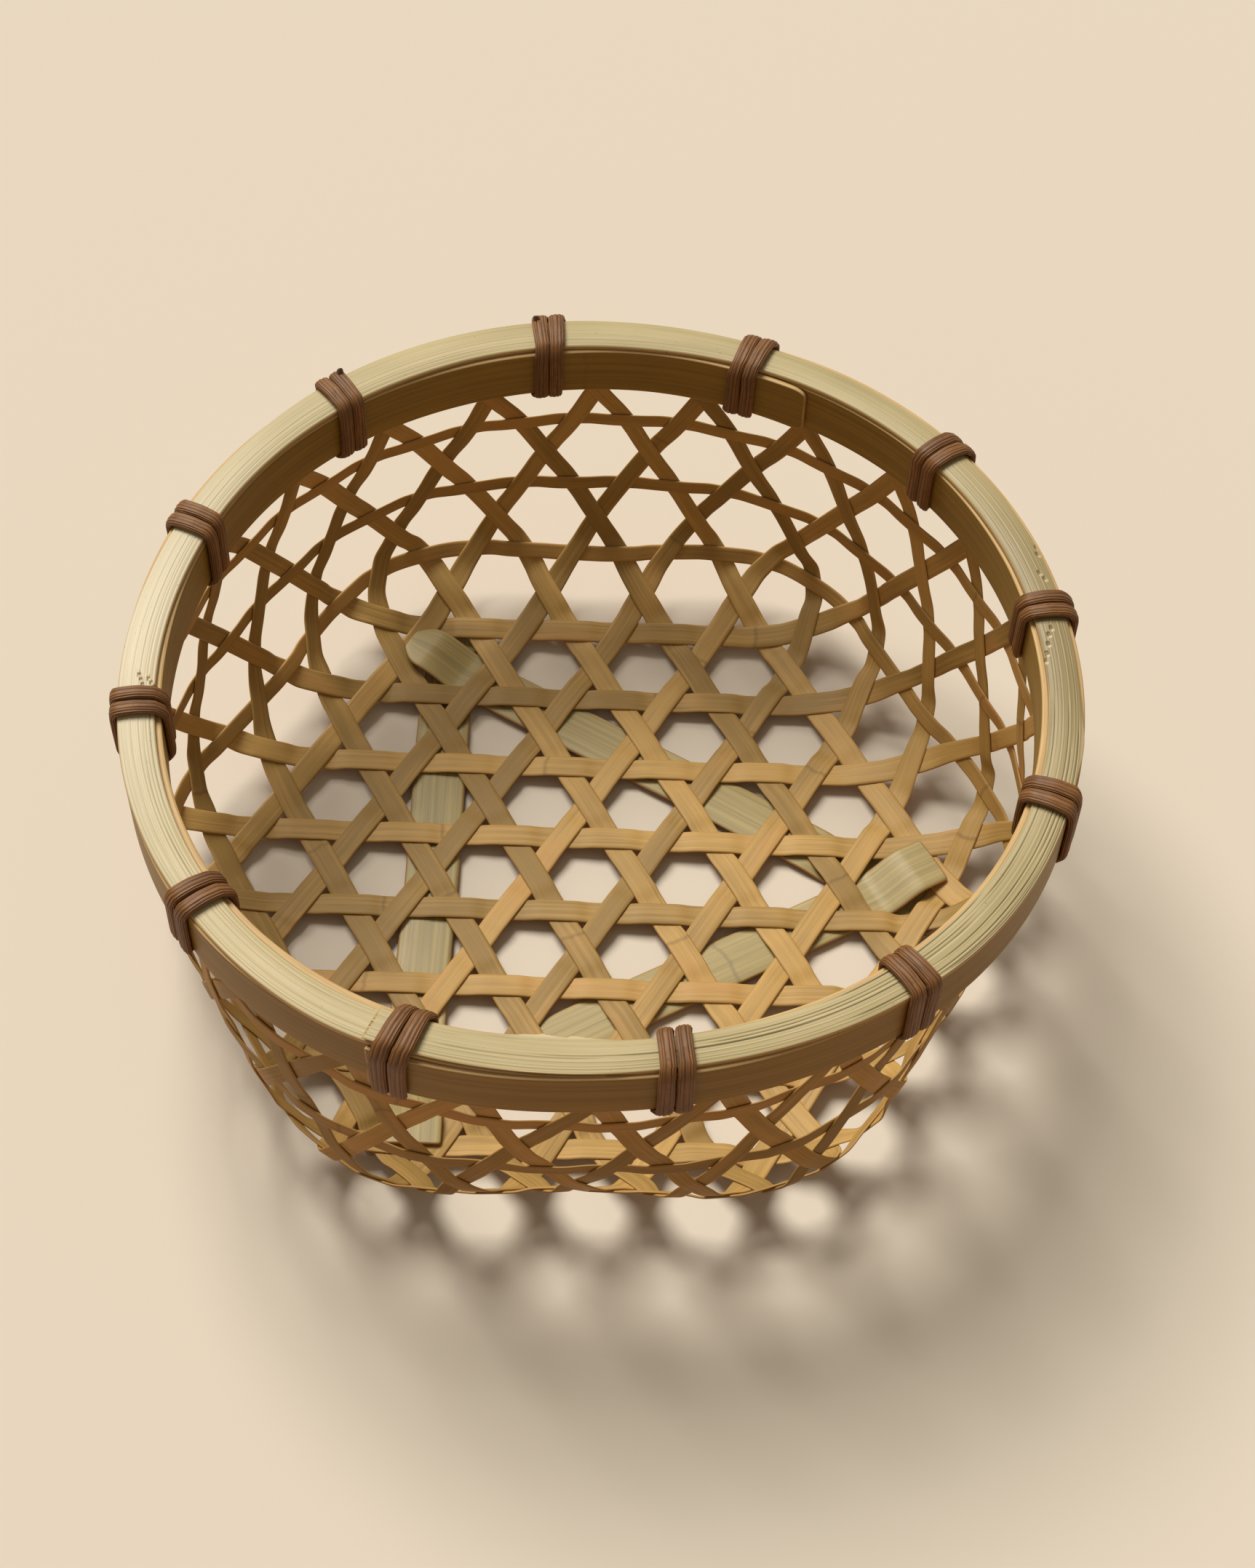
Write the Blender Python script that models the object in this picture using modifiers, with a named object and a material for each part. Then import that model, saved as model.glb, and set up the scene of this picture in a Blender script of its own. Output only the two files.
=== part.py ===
"""Round open basket in hexagonal bamboo weave, built strip by strip.

Twenty-four split strips cross in three directions to make the six-sided bottom, bend up at its edge
and lean left and right up the wall, where three level strips are woven through them.  Their ends
stand between two bent hoops, a third strip covers the top, and doubled turns of vine bind the rim.
Three wide braces run under the bottom.  Lengths are metres, +Z is up, and Z = 0 is the table.
"""

import math

import bmesh
import bpy
import numpy as np

# Weave
HOLE_RINGS = 4
BOTTOM_WIDTH = 0.1785
STRIP_WIDTH = 0.0068
WALL_STRIP_WIDTH = 0.0054
LEVEL_STRIP_WIDTH = 0.0045
STRIP_THICKNESS = 0.0006
EDGE_LIFT = 0.0008
CLEARANCE = 0.0003

# Rim
RIM_RADIUS = 0.125
HOOP_TOP = 0.1012
HOOP_HEIGHT = 0.0154
HOOP_THICKNESS = 0.0042
INNER_HOOP_THICKNESS = 0.0050
HOOP_ROUNDING = 0.0006
COVER_EDGE_THICKNESS = 0.0012
COVER_CROWN = 0.0006
STRIP_END_DROP = 0.0023

# Where the end of a hoop or of the cover laps over its other end
LAP_TIP_THICKNESS = 0.0012
LAP_TAIL_THICKNESS = 0.0009
COVER_TIP_THICKNESS = 0.0009
COVER_TAIL_THICKNESS = 0.0006

# Vine lashings
LASHINGS = 12
VINE_WIDTH = 0.0041
VINE_THICKNESS = 0.0020
TURN_GAP = 0.0005
VINE_TURNS = 2
VINE_SIDES = 6

# Braces under the bottom
BRACE_WIDTH = 0.0155
BRACE_THICKNESS = 0.0012
BRACE_OVER_END = 0.0133
BRACE_UNDER_END = 0.0164
BRACE_RISE = 0.0128
BRACE_SLOPE = 0.0120

# How the pieces share the sizes above
ring_height_shares = (0.1654, 0.4698, 0.7813)
ring_radius_shares = (0.9540, 0.9912, 0.9965)
ring_corner_shares = (0.046, 0.018, 0.004)
corner_pull_shares = (0.13, 0.05)
narrowing_share = 0.223
brace_reach_share = 0.92
vine_pinch_share = 0.45
flat_limit_share = 0.47
ease_shares = (0.0, 0.25, 0.5, 0.75, 1.0)
square_end_shares = ((0.0, 0.86), (0.05, 0.97), (0.12, 1.0))
leaf_end_shares = ((0.0, 0.45), (0.12, 0.74), (0.32, 0.93), (0.6, 1.0))
hoop_tip_shares = ((0.0, 0.72), (0.03, 0.92), (0.075, 1.0))
cover_profile_shares = ((-0.5, 0.0), (-0.26, 0.8), (0.0, 1.0), (0.26, 0.8), (0.5, 0.0))

# Places round the rim, seen from above, anticlockwise from +X
HOOP_SEGMENTS = 72
LAP_SEGMENTS = 8
LAP_ANGLE = math.radians(27)
INNER_LAP = math.radians(59.1)
OUTER_LAP = math.radians(-116.4)
COVER_LAP = math.radians(-116.9)
FIRST_LASHING = math.radians(7.5)

# Edges of the cover, as shares of the rim's radius, at even angles from +X, and how far each lashing
# is from its even place, as a share of the angle between two
cover_outer_shares = (0.988, 0.988, 0.985, 0.984, 0.994, 1.005, 1.002, 0.990, 0.989,
                      0.998, 0.999, 0.994, 1.002, 0.994, 0.990, 0.997, 1.001, 0.996)
cover_inner_shares = (0.921, 0.917, 0.914, 0.913, 0.914, 0.921, 0.916, 0.913, 0.915,
                      0.921, 0.924, 0.925, 0.928, 0.918, 0.917, 0.922, 0.922, 0.923)
lashing_shift_shares = (0.047, 0.010, 0.030, -0.027, -0.017, -0.050,
                        -0.037, -0.047, -0.020, 0.020, 0.007, 0.050)

# Hand-bent shape: the rim is a little out of round, and sits turned and off centre over the bottom.
# The shares say how much of the turn, and of the offset to the left and to the back, each height has.
WALL_TURN = math.radians(2.5)
BOTTOM_OFFSET = 0.0041
bend_height_shares = (0.0, 0.071, 0.1654, 0.4698, 0.7813, 0.965)
bend_turn_shares = (0.0, 0.46, 0.34, 0.28, 0.46, 1.0)
bend_left_shares = (1.0, 0.72, 0.74, 0.86, 0.50, 0.0)
bend_back_shares = (0.0, 0.0, 0.32, 0.12, 0.12, 0.0)
out_of_round_shares = ((2, 0.0033, 0.0045), (3, 0.0036, -0.0045), (4, -0.0074, -0.0030))

# Worked out from the sizes above
STRIPS_A_WAY = 2 * HOLE_RINGS
PITCH = BOTTOM_WIDTH / (STRIPS_A_WAY - 1)
STEP = PITCH / math.sqrt(3)
CROSSINGS_ROUND = 6 * STRIPS_A_WAY
LAY = (STRIP_THICKNESS + CLEARANCE) / 2
WEAVE_HALF = LAY + STRIP_THICKNESS / 2
BRACE_DROP = WEAVE_HALF + CLEARANCE + BRACE_THICKNESS / 2
BRACE_STACK = BRACE_THICKNESS + CLEARANCE
WEAVE_HEIGHT = BRACE_DROP + BRACE_STACK + BRACE_THICKNESS / 2
HOOP_BOTTOM = HOOP_TOP - HOOP_HEIGHT
WALL_HEIGHT = HOOP_BOTTOM - WEAVE_HEIGHT
SLOT_HALF = WEAVE_HALF + CLEARANCE
SLOT_RADIUS = RIM_RADIUS - HOOP_THICKNESS - SLOT_HALF
INNER_FACE = SLOT_RADIUS - SLOT_HALF - INNER_HOOP_THICKNESS
COVER_BASE = HOOP_TOP + CLEARANCE
TURN_SPACING = VINE_WIDTH + TURN_GAP
BRACE_UNDER_REACH = brace_reach_share * BRACE_WIDTH
BRACE_OVER_LENGTH = BRACE_OVER_END - BRACE_RISE / 2

BAMBOO = (0.50, 0.41, 0.19)
BAMBOO_LEVEL = (0.46, 0.40, 0.20)
HOOP_OLIVE = (0.40, 0.34, 0.15)
COVER_GREY = (0.42, 0.43, 0.30)
BRACE_GREEN = (0.36, 0.38, 0.25)
VINE_BROWN = (0.13, 0.065, 0.035)


def clear_scene():
    for old in list(bpy.data.objects):
        bpy.data.objects.remove(old, do_unlink=True)


def material(name, colour, roughness):
    made = bpy.data.materials.new(name)
    made.use_nodes = True
    shader = made.node_tree.nodes["Principled BSDF"]
    shader.inputs["Base Color"].default_value = (*colour, 1.0)
    shader.inputs["Roughness"].default_value = roughness
    shader.inputs["Metallic"].default_value = 0.0
    return made


def unit(vectors):
    return vectors / np.linalg.norm(vectors, axis=-1, keepdims=True)


def ease(share):
    """Rises from 0 to 1 with level ends."""
    share = min(max(share, 0.0), 1.0)
    return share * share * (3 - 2 * share)


def cubic_weights(part):
    """Shares of four even neighbours at a part of the way from the second to the third."""
    return (
        -part * (1 - part) ** 2 / 2,
        1 - part ** 2 * (5 - 3 * part) / 2,
        part * (1 + part * (4 - 3 * part)) / 2,
        -part ** 2 * (1 - part) / 2,
    )


def hand_bent(points):
    """Turns, leans and swells the shape from nothing at the bottom to the full amount at the rim."""
    share = np.clip((points[:, 2] - WEAVE_HEIGHT) / WALL_HEIGHT, 0, 1)
    turn = WALL_TURN * np.interp(share, bend_height_shares, bend_turn_shares)
    angle = np.arctan2(points[:, 1], points[:, 0]) + turn
    swell = sum(c * np.cos(k * angle) + s * np.sin(k * angle) for k, c, s in out_of_round_shares)
    reach = np.hypot(points[:, 0], points[:, 1]) * (1 + swell * share)
    left = BOTTOM_OFFSET * np.interp(share, bend_height_shares, bend_left_shares)
    back = BOTTOM_OFFSET * np.interp(share, bend_height_shares, bend_back_shares)
    across, away = reach * np.cos(angle) - left, reach * np.sin(angle) + back
    return np.column_stack([across, away, points[:, 2]])


def add_object(name, points, faces, finish, group):
    mesh = bpy.data.meshes.new(name)
    mesh.from_pydata(hand_bent(points).tolist(), [], faces)
    mesh.materials.append(finish)
    made = bpy.data.objects.new(name, mesh)
    group.objects.link(made)
    return made


def ribbon(name, edges, thickness, finish, group, closed=False):
    """A flat strip: the open surface between two edge lines, thickened evenly to both sides."""
    edges = np.asarray(edges, float)
    rows = len(edges)
    last = rows if closed else rows - 1
    faces = []
    for row in range(last):
        ahead = (row + 1) % rows
        faces.append((2 * row, 2 * row + 1, 2 * ahead + 1, 2 * ahead))
    made = add_object(name, edges.reshape(-1, 3), faces, finish, group)
    shell = made.modifiers.new("Thickness", "SOLIDIFY")
    shell.thickness = thickness
    shell.offset = 0.0
    shell.use_even_offset = True
    return made


def loft(name, sections, finish, group):
    """A solid whose section changes along its length, as no modifier makes it."""
    sections = np.asarray(sections, float)
    rings, corners = sections.shape[:2]
    faces = []
    for ring in range(rings - 1):
        for corner in range(corners):
            across = (corner + 1) % corners
            near, far = ring * corners, (ring + 1) * corners
            faces.append((near + corner, near + across, far + across, far + corner))
    faces.append(tuple(reversed(range(corners))))
    faces.append(tuple(range((rings - 1) * corners, rings * corners)))
    made = add_object(name, sections.reshape(-1, 3), faces, finish, group)
    shape = bmesh.new()
    shape.from_mesh(made.data)
    bmesh.ops.recalc_face_normals(shape, faces=shape.faces)
    shape.to_mesh(made.data)
    shape.free()
    made.data.shade_smooth()
    made.data.set_sharp_from_angle(angle=math.radians(40))
    return made


# The surface that the wall's weave follows, by rows: even rows are level strips, odd ones crossings

def hexagon_point(across_flats, angle):
    """Point of a hexagon with corners at 0, 60, 120 degrees, spaced evenly along each side."""
    side, along = divmod(angle * 3 / math.pi, 1)
    ends = [math.pi / 3 * corner for corner in (side, side + 1)]
    return across_flats / math.sqrt(3) * np.array([
        (1 - along) * math.cos(ends[0]) + along * math.cos(ends[1]),
        (1 - along) * math.sin(ends[0]) + along * math.sin(ends[1]),
    ])


def row_outline(row, angle):
    """Point of an even row seen from above: hexagons on the bottom, rounding to circles up the wall."""
    if row < 0:
        return hexagon_point(BOTTOM_WIDTH + (row + 2) * PITCH, angle)
    radius = SLOT_RADIUS
    if row <= 4:
        radius *= ring_radius_shares[row // 2] * (1 + ring_corner_shares[row // 2] * math.cos(6 * angle))
    return radius * np.array([math.cos(angle), math.sin(angle)])


def row_height(row):
    """Height of an even row above the middle of the bottom weave."""
    top, below = ring_height_shares[2] * WALL_HEIGHT, ring_height_shares[1] * WALL_HEIGHT
    if row < 0:
        return EDGE_LIFT if row == -2 else 0.0
    if row > 4:
        return top + (row - 4) / 2 * (top - below)
    return ring_height_shares[row // 2] * WALL_HEIGHT


def wall_point(row, angle):
    """Point of the wall at any row from -1 up: a smooth curve through the four nearest even rows."""
    first = 2 * math.floor(row / 2)
    weights = cubic_weights((row - first) / 2)
    rows = (first - 2, first, first + 2, first + 4)
    flat = sum(weight * row_outline(near, angle) for weight, near in zip(weights, rows))
    height = sum(weight * row_height(near) for weight, near in zip(weights, rows))
    return np.array([*flat, WEAVE_HEIGHT + height])


def round_angle(place, row):
    """Angle of a place counted in crossings round the wall, where one half is a bottom corner.

    The lowest crossings are drawn towards the corners, so that the strips run straight.
    """
    apart = 2 * math.pi / CROSSINGS_ROUND
    angle = (place - 0.5) * apart
    if row < 0:
        for waves, share in zip((6, 12), corner_pull_shares):
            angle -= share * apart * math.sin(waves * (place - 0.5) * apart)
    return angle


def last_row():
    """The row at which a strip's end stops, just under the cover."""
    rise = HOOP_TOP - STRIP_END_DROP - WALL_STRIP_WIDTH / 3 - WEAVE_HEIGHT - row_height(4)
    return 4 + 2 * rise / (row_height(6) - row_height(4))


# The strips' paths, as crossings in order: (key, point, whether this strip lies on the inner side)

def way_direction(way):
    return np.array([math.cos(way * math.pi / 3), math.sin(way * math.pi / 3)])


def way_offset(way, flat):
    """How far a point of the bottom lies to the left of the middle line of a way."""
    along = way_direction(way)
    return float(along[0] * flat[1] - along[1] * flat[0])


def crossing_way(way, flat):
    """Which of the other two ways has a strip through this point of the bottom."""
    for other in range(3):
        place = way_offset(other, flat) / PITCH + 0.5
        if other != way and abs(place - round(place)) < 0.1:
            return other
    raise ValueError("no strip crosses here")


def bottom_path(way, offset):
    """One strip's crossings over the bottom, alternately under and over the other two ways."""
    half = (STRIPS_A_WAY - 1) * STEP - abs(offset) / math.sqrt(3)
    along = way_direction(way)
    sideways = np.array([-along[1], along[0]])
    path = []
    for index in range(round(2 * half / STEP) + 1):
        flat = sideways * offset + along * (index * STEP - half)
        outermost = max(abs(way_offset(other, flat)) for other in range(3))
        lift = EDGE_LIFT if outermost > BOTTOM_WIDTH / 2 - STEP / 4 else 0.0
        key = ("bottom", *(round(8 * value / STEP) for value in flat))
        inner = (way - crossing_way(way, flat)) % 3 == 1
        path.append((key, np.array([*flat, WEAVE_HEIGHT + lift]), inner))
    return path


def wall_path(way, offset, end):
    """The same strip's crossings from the edge of the bottom to the rim; end is +1 or -1."""
    half = (STRIPS_A_WAY - 1) * STEP - abs(offset) / math.sqrt(3)
    along = way_direction(way)
    leave = np.array([-along[1], along[0]]) * offset + along * half * end
    turned = way if end > 0 else way + 3
    side = turned if offset * end > 0 else turned - 1
    normal = math.pi / 6 + side * math.pi / 3
    place = round((leave[1] * math.cos(normal) - leave[0] * math.sin(normal)) / STEP
                  + (STRIPS_A_WAY - 1) / 2)
    forward = place % 2 == 0
    sense = 1 if forward else -1
    start = side * STRIPS_A_WAY + place + (1.5 if forward else 0.5)
    path = []
    for row in range(-1, 6):
        around = start + sense * (row + 1) / 2
        key = ("wall", row, round(2 * around) % (2 * CROSSINGS_ROUND))
        path.append((key, wall_point(row, round_angle(around, row)), (row % 2 == 1) == forward))
    for share in (0.5, 1.0):
        row = 5 + share * (last_row() - 5)
        around = start + sense * (row + 1) / 2
        path.append((None, wall_point(row, round_angle(around, row)), forward))
    return path


def ring_path(ring):
    """A level strip's crossings round the wall."""
    path = []
    for place in range(CROSSINGS_ROUND):
        key = ("wall", 2 * ring, 2 * place)
        path.append((key, wall_point(2 * ring, round_angle(place, 2 * ring)), place % 2 == ring % 2))
    return path


def directions(path, closed):
    points = np.array([point for _, point, _ in path])
    if closed:
        return unit(np.roll(points, -1, 0) - np.roll(points, 1, 0))
    return unit(np.gradient(points, axis=0))


def strip_width(point):
    """Width of a bottom strip, which is split narrower towards its ends."""
    share = (point[2] - WEAVE_HEIGHT) / (narrowing_share * WALL_HEIGHT)
    return STRIP_WIDTH - (STRIP_WIDTH - WALL_STRIP_WIDTH) * ease(share)


def shared_normals(paths):
    """At each crossing, the inward normal of the plane of both strips, and half its flat length."""
    meeting = {}
    for path, closed in paths:
        for (key, point, _), direction in zip(path, directions(path, closed)):
            if key is not None:
                meeting.setdefault(key, []).append((point, direction))
    shared = {}
    for key, met in meeting.items():
        (point, one), (_, two) = met
        normal = unit(np.cross(one, two))
        inward = np.array([0.0, 0.0, HOOP_TOP]) - point
        cosine = abs(float(one @ two))
        flat = strip_width(point) / 2 * (1 + cosine) / math.sqrt(1 - cosine * cosine)
        shared[key] = (normal * np.sign(normal @ inward), flat)
    return shared


def strip_edges(path, closed, shared):
    """Both edge lines of a strip that lies flat at each crossing and slopes between them."""
    points = np.array([point for _, point, _ in path])
    gaps = np.linalg.norm(np.roll(points, -1, 0) - points, axis=1)
    keyed = [key is not None for key, _, _ in path]
    edges = []
    for index, ((key, point, inner), direction) in enumerate(zip(path, directions(path, closed))):
        if key is None:
            normal = -unit(point * np.array([1.0, 1.0, 0.0]))
            stations = (0.0,)
        else:
            normal, flat = shared[key]
            before, after = index - 1, (index + 1) % len(path)
            near = [gap for gap, at in ((gaps[before], before), (gaps[index], after)) if keyed[at]]
            flat = min([flat] + [flat_limit_share * gap for gap in near])
            stations = (-flat, flat)
        width = LEVEL_STRIP_WIDTH if closed else strip_width(point)
        sideways = unit(np.cross(normal, direction)) * width / 2
        middle = point + normal * (LAY if inner else -LAY)
        for station in stations:
            centre = middle + direction * station
            edges.append((centre - sideways, centre + sideways))
    return edges


def make_weave(finish, level_finish, group):
    named = []
    for way in range(3):
        for number in range(STRIPS_A_WAY):
            offset = (number - (STRIPS_A_WAY - 1) / 2) * PITCH
            path = wall_path(way, offset, -1)[::-1] + bottom_path(way, offset)
            path += wall_path(way, offset, 1)
            named.append((f"strip_{'abc'[way]}{number + 1}", path, False))
    for ring in range(len(ring_height_shares)):
        named.append((f"level_strip_{ring + 1}", ring_path(ring), True))
    shared = shared_normals([(path, closed) for _, path, closed in named])
    slips = 0
    for name, path, closed in named:
        sides = [inner for key, _, inner in path if key is not None]
        slips += sum(one == two for one, two in zip(sides, sides[1:]))
        edges = strip_edges(path, closed, shared)
        look = level_finish if closed else finish
        ribbon(name, edges, STRIP_THICKNESS, look, group, closed)
    print(f"{len(shared)} crossings, {slips} places where a strip fails to alternate")


# The braces, each raised through a corner hole at one end and tucked under the next at the other

def brace_stations():
    """(distance from its middle, height of its centre line, width) from under end to over end."""
    corner = (STRIPS_A_WAY - 2) * STEP * math.cos(math.pi / 6)
    low, high = -BRACE_DROP - BRACE_STACK, BRACE_DROP + EDGE_LIFT + CLEARANCE
    stations = []
    for share, width in square_end_shares:
        stations.append((-corner - BRACE_UNDER_END + share * BRACE_WIDTH, low, width * BRACE_WIDTH))
    for share in ease_shares:
        place = -corner + BRACE_UNDER_REACH + share * BRACE_SLOPE
        stations.append((place, low + ease(share) * BRACE_STACK, BRACE_WIDTH))
    for share in ease_shares:
        place = corner + (share - 0.5) * BRACE_RISE
        stations.append((place, -BRACE_DROP + (high + BRACE_DROP) * ease(share), BRACE_WIDTH))
    return stations, corner + BRACE_OVER_END, high


def make_braces(finish, group):
    away = (STRIPS_A_WAY / 2 - 1) * STEP
    for number, end_shares in enumerate((square_end_shares, square_end_shares, leaf_end_shares)):
        normal = math.pi * (1 + 2 * number / 3)
        out = np.array([math.cos(normal), math.sin(normal), 0.0])
        along = np.array([-out[1], out[0], 0.0])
        stations, over_end, high = brace_stations()
        for share, width in reversed(end_shares):
            stations.append((over_end - share * BRACE_OVER_LENGTH, high, width * BRACE_WIDTH))
        edges = []
        for place, height, width in stations:
            centre = out * away + along * place + np.array([0.0, 0.0, WEAVE_HEIGHT + height])
            edges.append((centre + out * width / 2, centre - out * width / 2))
        ribbon(f"brace_{number + 1}", edges, BRACE_THICKNESS, finish, group)


# The rim

def bent_strip(lap_start, thickness, tip, tail):
    """Rows (angle, back, face, share of full width) of a strip bent round until its ends lap.

    Back and face are measured from the back of the strip.  The hidden end thins to a wedge; the
    visible end lies on the wedge and stands out by its own thickness at the tip.
    """
    places = [share for share, _ in hoop_tip_shares]
    places += [index / LAP_SEGMENTS for index in range(1, LAP_SEGMENTS + 1)]
    rows = []
    for share in places:
        wedge = thickness - (thickness - tail) * share
        face = thickness + (tip + CLEARANCE) * (1 - ease(share))
        width = float(np.interp(share, *zip(*hoop_tip_shares)))
        rows.append((lap_start + share * LAP_ANGLE, wedge + CLEARANCE, face, width))
    for index in range(1, HOOP_SEGMENTS + 1):
        angle = LAP_ANGLE + index / HOOP_SEGMENTS * (2 * math.pi - LAP_ANGLE)
        rows.append((lap_start + angle, 0.0, thickness, 1.0))
    for index in range(1, LAP_SEGMENTS + 1):
        share = index / LAP_SEGMENTS
        angle = lap_start + 2 * math.pi + share * LAP_ANGLE
        rows.append((angle, 0.0, thickness - (thickness - tail) * share, 1.0))
    return rows


def lap_stands_out(lap_start, angle, tip):
    """How far the visible end of a lap stands out, at its most within one lashing's reach."""
    reach = (TURN_SPACING + VINE_WIDTH / 2) / SLOT_RADIUS
    into = math.fmod(angle - lap_start + 4 * math.pi, 2 * math.pi)
    if into > LAP_ANGLE + reach:
        return 0.0
    return (tip + CLEARANCE) * (1 - ease((into - reach) / LAP_ANGLE))


def round_points(angle, radii, heights):
    radii, heights = np.asarray(radii, float), np.asarray(heights, float)
    return np.column_stack([radii * np.cos(angle), radii * np.sin(angle), heights])


def make_hoop(name, lap_start, back_radius, thickness, finish, group):
    """A hoop from its back outwards, or inwards where its thickness is negative."""
    sections = []
    sense = math.copysign(1, thickness)
    for angle, back, face, share in bent_strip(lap_start, abs(thickness), LAP_TIP_THICKNESS,
                                               LAP_TAIL_THICKNESS):
        rounding = min(HOOP_ROUNDING, (face - back) / 3)
        depths = np.array([back, face - rounding, face, face, face - rounding, back])
        top = HOOP_HEIGHT * (1 + share) / 2
        low = HOOP_HEIGHT - top
        heights = np.array([low, low, low + rounding, top - rounding, top, top])
        sections.append(round_points(angle, back_radius + sense * depths, HOOP_BOTTOM + heights))
    loft(name, sections, finish, group)


def cover_edges(angle):
    """Radii of the cover's inner and outer edges: a cubic through the four nearest shares."""
    count = len(cover_inner_shares)
    first, q = divmod(angle / (2 * math.pi) * count, 1)
    near = [(int(first) + step) % count for step in (-1, 0, 1, 2)]
    return [RIM_RADIUS * sum(w * shares[index] for w, index in zip(cubic_weights(q), near))
            for shares in (cover_inner_shares, cover_outer_shares)]


def make_cover(finish, group):
    thickness = COVER_EDGE_THICKNESS + COVER_CROWN
    across, crowns = np.array(cover_profile_shares).T
    sections = []
    for angle, back, face, _ in bent_strip(COVER_LAP, thickness, COVER_TIP_THICKNESS,
                                           COVER_TAIL_THICKNESS):
        crown = min(COVER_CROWN, (face - back) / 2)
        inner, outer = cover_edges(angle)
        places = np.concatenate([across[::-1], across[[0, -1]]])
        radii = (inner + outer) / 2 + (outer - inner) * places
        heights = np.concatenate([face - crown * (1 - crowns[::-1]), [back, back]])
        sections.append(round_points(angle, radii, COVER_BASE + heights))
    loft("rim_cover", sections, finish, group)


def lashing_turn(angle):
    """One turn of vine round the rim as rows (radius, height, direction it bulges in)."""
    inner = INNER_FACE - lap_stands_out(INNER_LAP, angle, LAP_TIP_THICKNESS)
    outer = RIM_RADIUS + lap_stands_out(OUTER_LAP, angle, LAP_TIP_THICKNESS)
    edge = COVER_BASE + COVER_EDGE_THICKNESS
    edge += lap_stands_out(COVER_LAP, angle, COVER_TIP_THICKNESS)
    cover_inner, cover_outer = cover_edges(angle)
    return [
        (SLOT_RADIUS, HOOP_BOTTOM, -90),
        (outer, HOOP_BOTTOM, -90),
        (outer, HOOP_BOTTOM, -45),
        (outer, HOOP_BOTTOM, 0),
        (max(outer, cover_outer), HOOP_TOP, 15),
        (cover_outer, edge, 60),
        ((cover_inner + cover_outer) / 2, edge + COVER_CROWN, 90),
        (cover_inner, edge, 120),
        (min(inner, cover_inner), HOOP_TOP, 165),
        (inner, HOOP_BOTTOM, 180),
        (inner, HOOP_BOTTOM, 225),
        (inner, HOOP_BOTTOM, 270),
    ]


def make_lashings(finish, group):
    least, longest = 1.0, 0.0
    corners = 2 * math.pi * np.arange(VINE_SIDES) / VINE_SIDES
    for number in range(LASHINGS):
        middle = FIRST_LASHING + (number + lashing_shift_shares[number]) * 2 * math.pi / LASHINGS
        turn = lashing_turn(middle)
        rows = turn * VINE_TURNS + turn[:1]
        sections = []
        for index, (radius, height, bulge) in enumerate(rows):
            out, up = math.cos(math.radians(bulge)), math.sin(math.radians(bulge))
            half = VINE_THICKNESS / 2 * (1 - vine_pinch_share * max(0.0, -up))
            along = TURN_SPACING * (index / len(turn) - VINE_TURNS / 2)
            angles = middle + (along + VINE_WIDTH / 2 * np.cos(corners)) / SLOT_RADIUS
            depths = CLEARANCE + half * (1 + np.sin(corners))
            sections.append(round_points(angles, radius + out * depths, height + up * depths))
        bent = hand_bent(np.concatenate(sections)).reshape(len(rows), VINE_SIDES, 3)
        centres = bent.mean(axis=1)
        longest = max(longest, float(np.linalg.norm(np.diff(centres, axis=0), axis=1).sum()))
        for near in range(len(rows)):
            for far in range(near + len(turn) // 2, len(rows)):
                apart = np.linalg.norm(bent[near][:, None] - bent[far][None], axis=2)
                least = min(least, float(apart.min()))
        loft(f"lashing_{number + 1:02d}", sections, finish, group)
    print(f"least gap between a lashing's turns {least:.5f} m, longest lashing {longest:.4f} m")


def build():
    clear_scene()
    basket = bpy.data.collections.new("zaru_basket")
    bpy.context.scene.collection.children.link(basket)
    bamboo = material("split_bamboo", BAMBOO, 0.5)
    level = material("level_bamboo", BAMBOO_LEVEL, 0.5)
    hoop = material("hoop_bamboo", HOOP_OLIVE, 0.45)
    cover = material("cover_bamboo", COVER_GREY, 0.45)
    brace = material("brace_bamboo", BRACE_GREEN, 0.5)
    vine = material("brown_vine", VINE_BROWN, 0.4)
    make_weave(bamboo, level, basket)
    make_braces(brace, basket)
    make_hoop("inner_hoop", INNER_LAP, SLOT_RADIUS - SLOT_HALF, -INNER_HOOP_THICKNESS, hoop, basket)
    make_hoop("outer_hoop", OUTER_LAP, SLOT_RADIUS + SLOT_HALF, HOOP_THICKNESS, hoop, basket)
    make_cover(cover, basket)
    make_lashings(vine, basket)


build()
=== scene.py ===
"""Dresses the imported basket: woven strips, level strips, braces, hoops, rim cover and lashings.

Strips and braces are surfaces P(u, t) = centre(u) + a(t) * sideways(u) + b(t) * normal(u), swept
along the same paths as in the CAD, with u in metres along the piece and t round its section. The
rim and the lashings are swept in the same way from radii and heights. Lengths are metres.
"""

import math

import bpy
import numpy as np
from mathutils import Matrix


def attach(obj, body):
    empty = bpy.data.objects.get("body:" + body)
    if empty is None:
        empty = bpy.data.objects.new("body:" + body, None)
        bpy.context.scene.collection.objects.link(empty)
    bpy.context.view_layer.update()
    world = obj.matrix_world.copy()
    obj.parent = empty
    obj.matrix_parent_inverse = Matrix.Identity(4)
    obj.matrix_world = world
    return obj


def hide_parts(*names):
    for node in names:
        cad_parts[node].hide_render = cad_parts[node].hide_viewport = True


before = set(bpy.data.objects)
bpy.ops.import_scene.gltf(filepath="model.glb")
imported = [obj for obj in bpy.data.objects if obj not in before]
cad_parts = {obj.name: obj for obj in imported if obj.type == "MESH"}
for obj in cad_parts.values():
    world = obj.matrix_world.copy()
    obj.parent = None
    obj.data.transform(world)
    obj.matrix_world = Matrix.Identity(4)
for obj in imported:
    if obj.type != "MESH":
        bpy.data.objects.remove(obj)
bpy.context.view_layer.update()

TURN = 2 * math.pi

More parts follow.
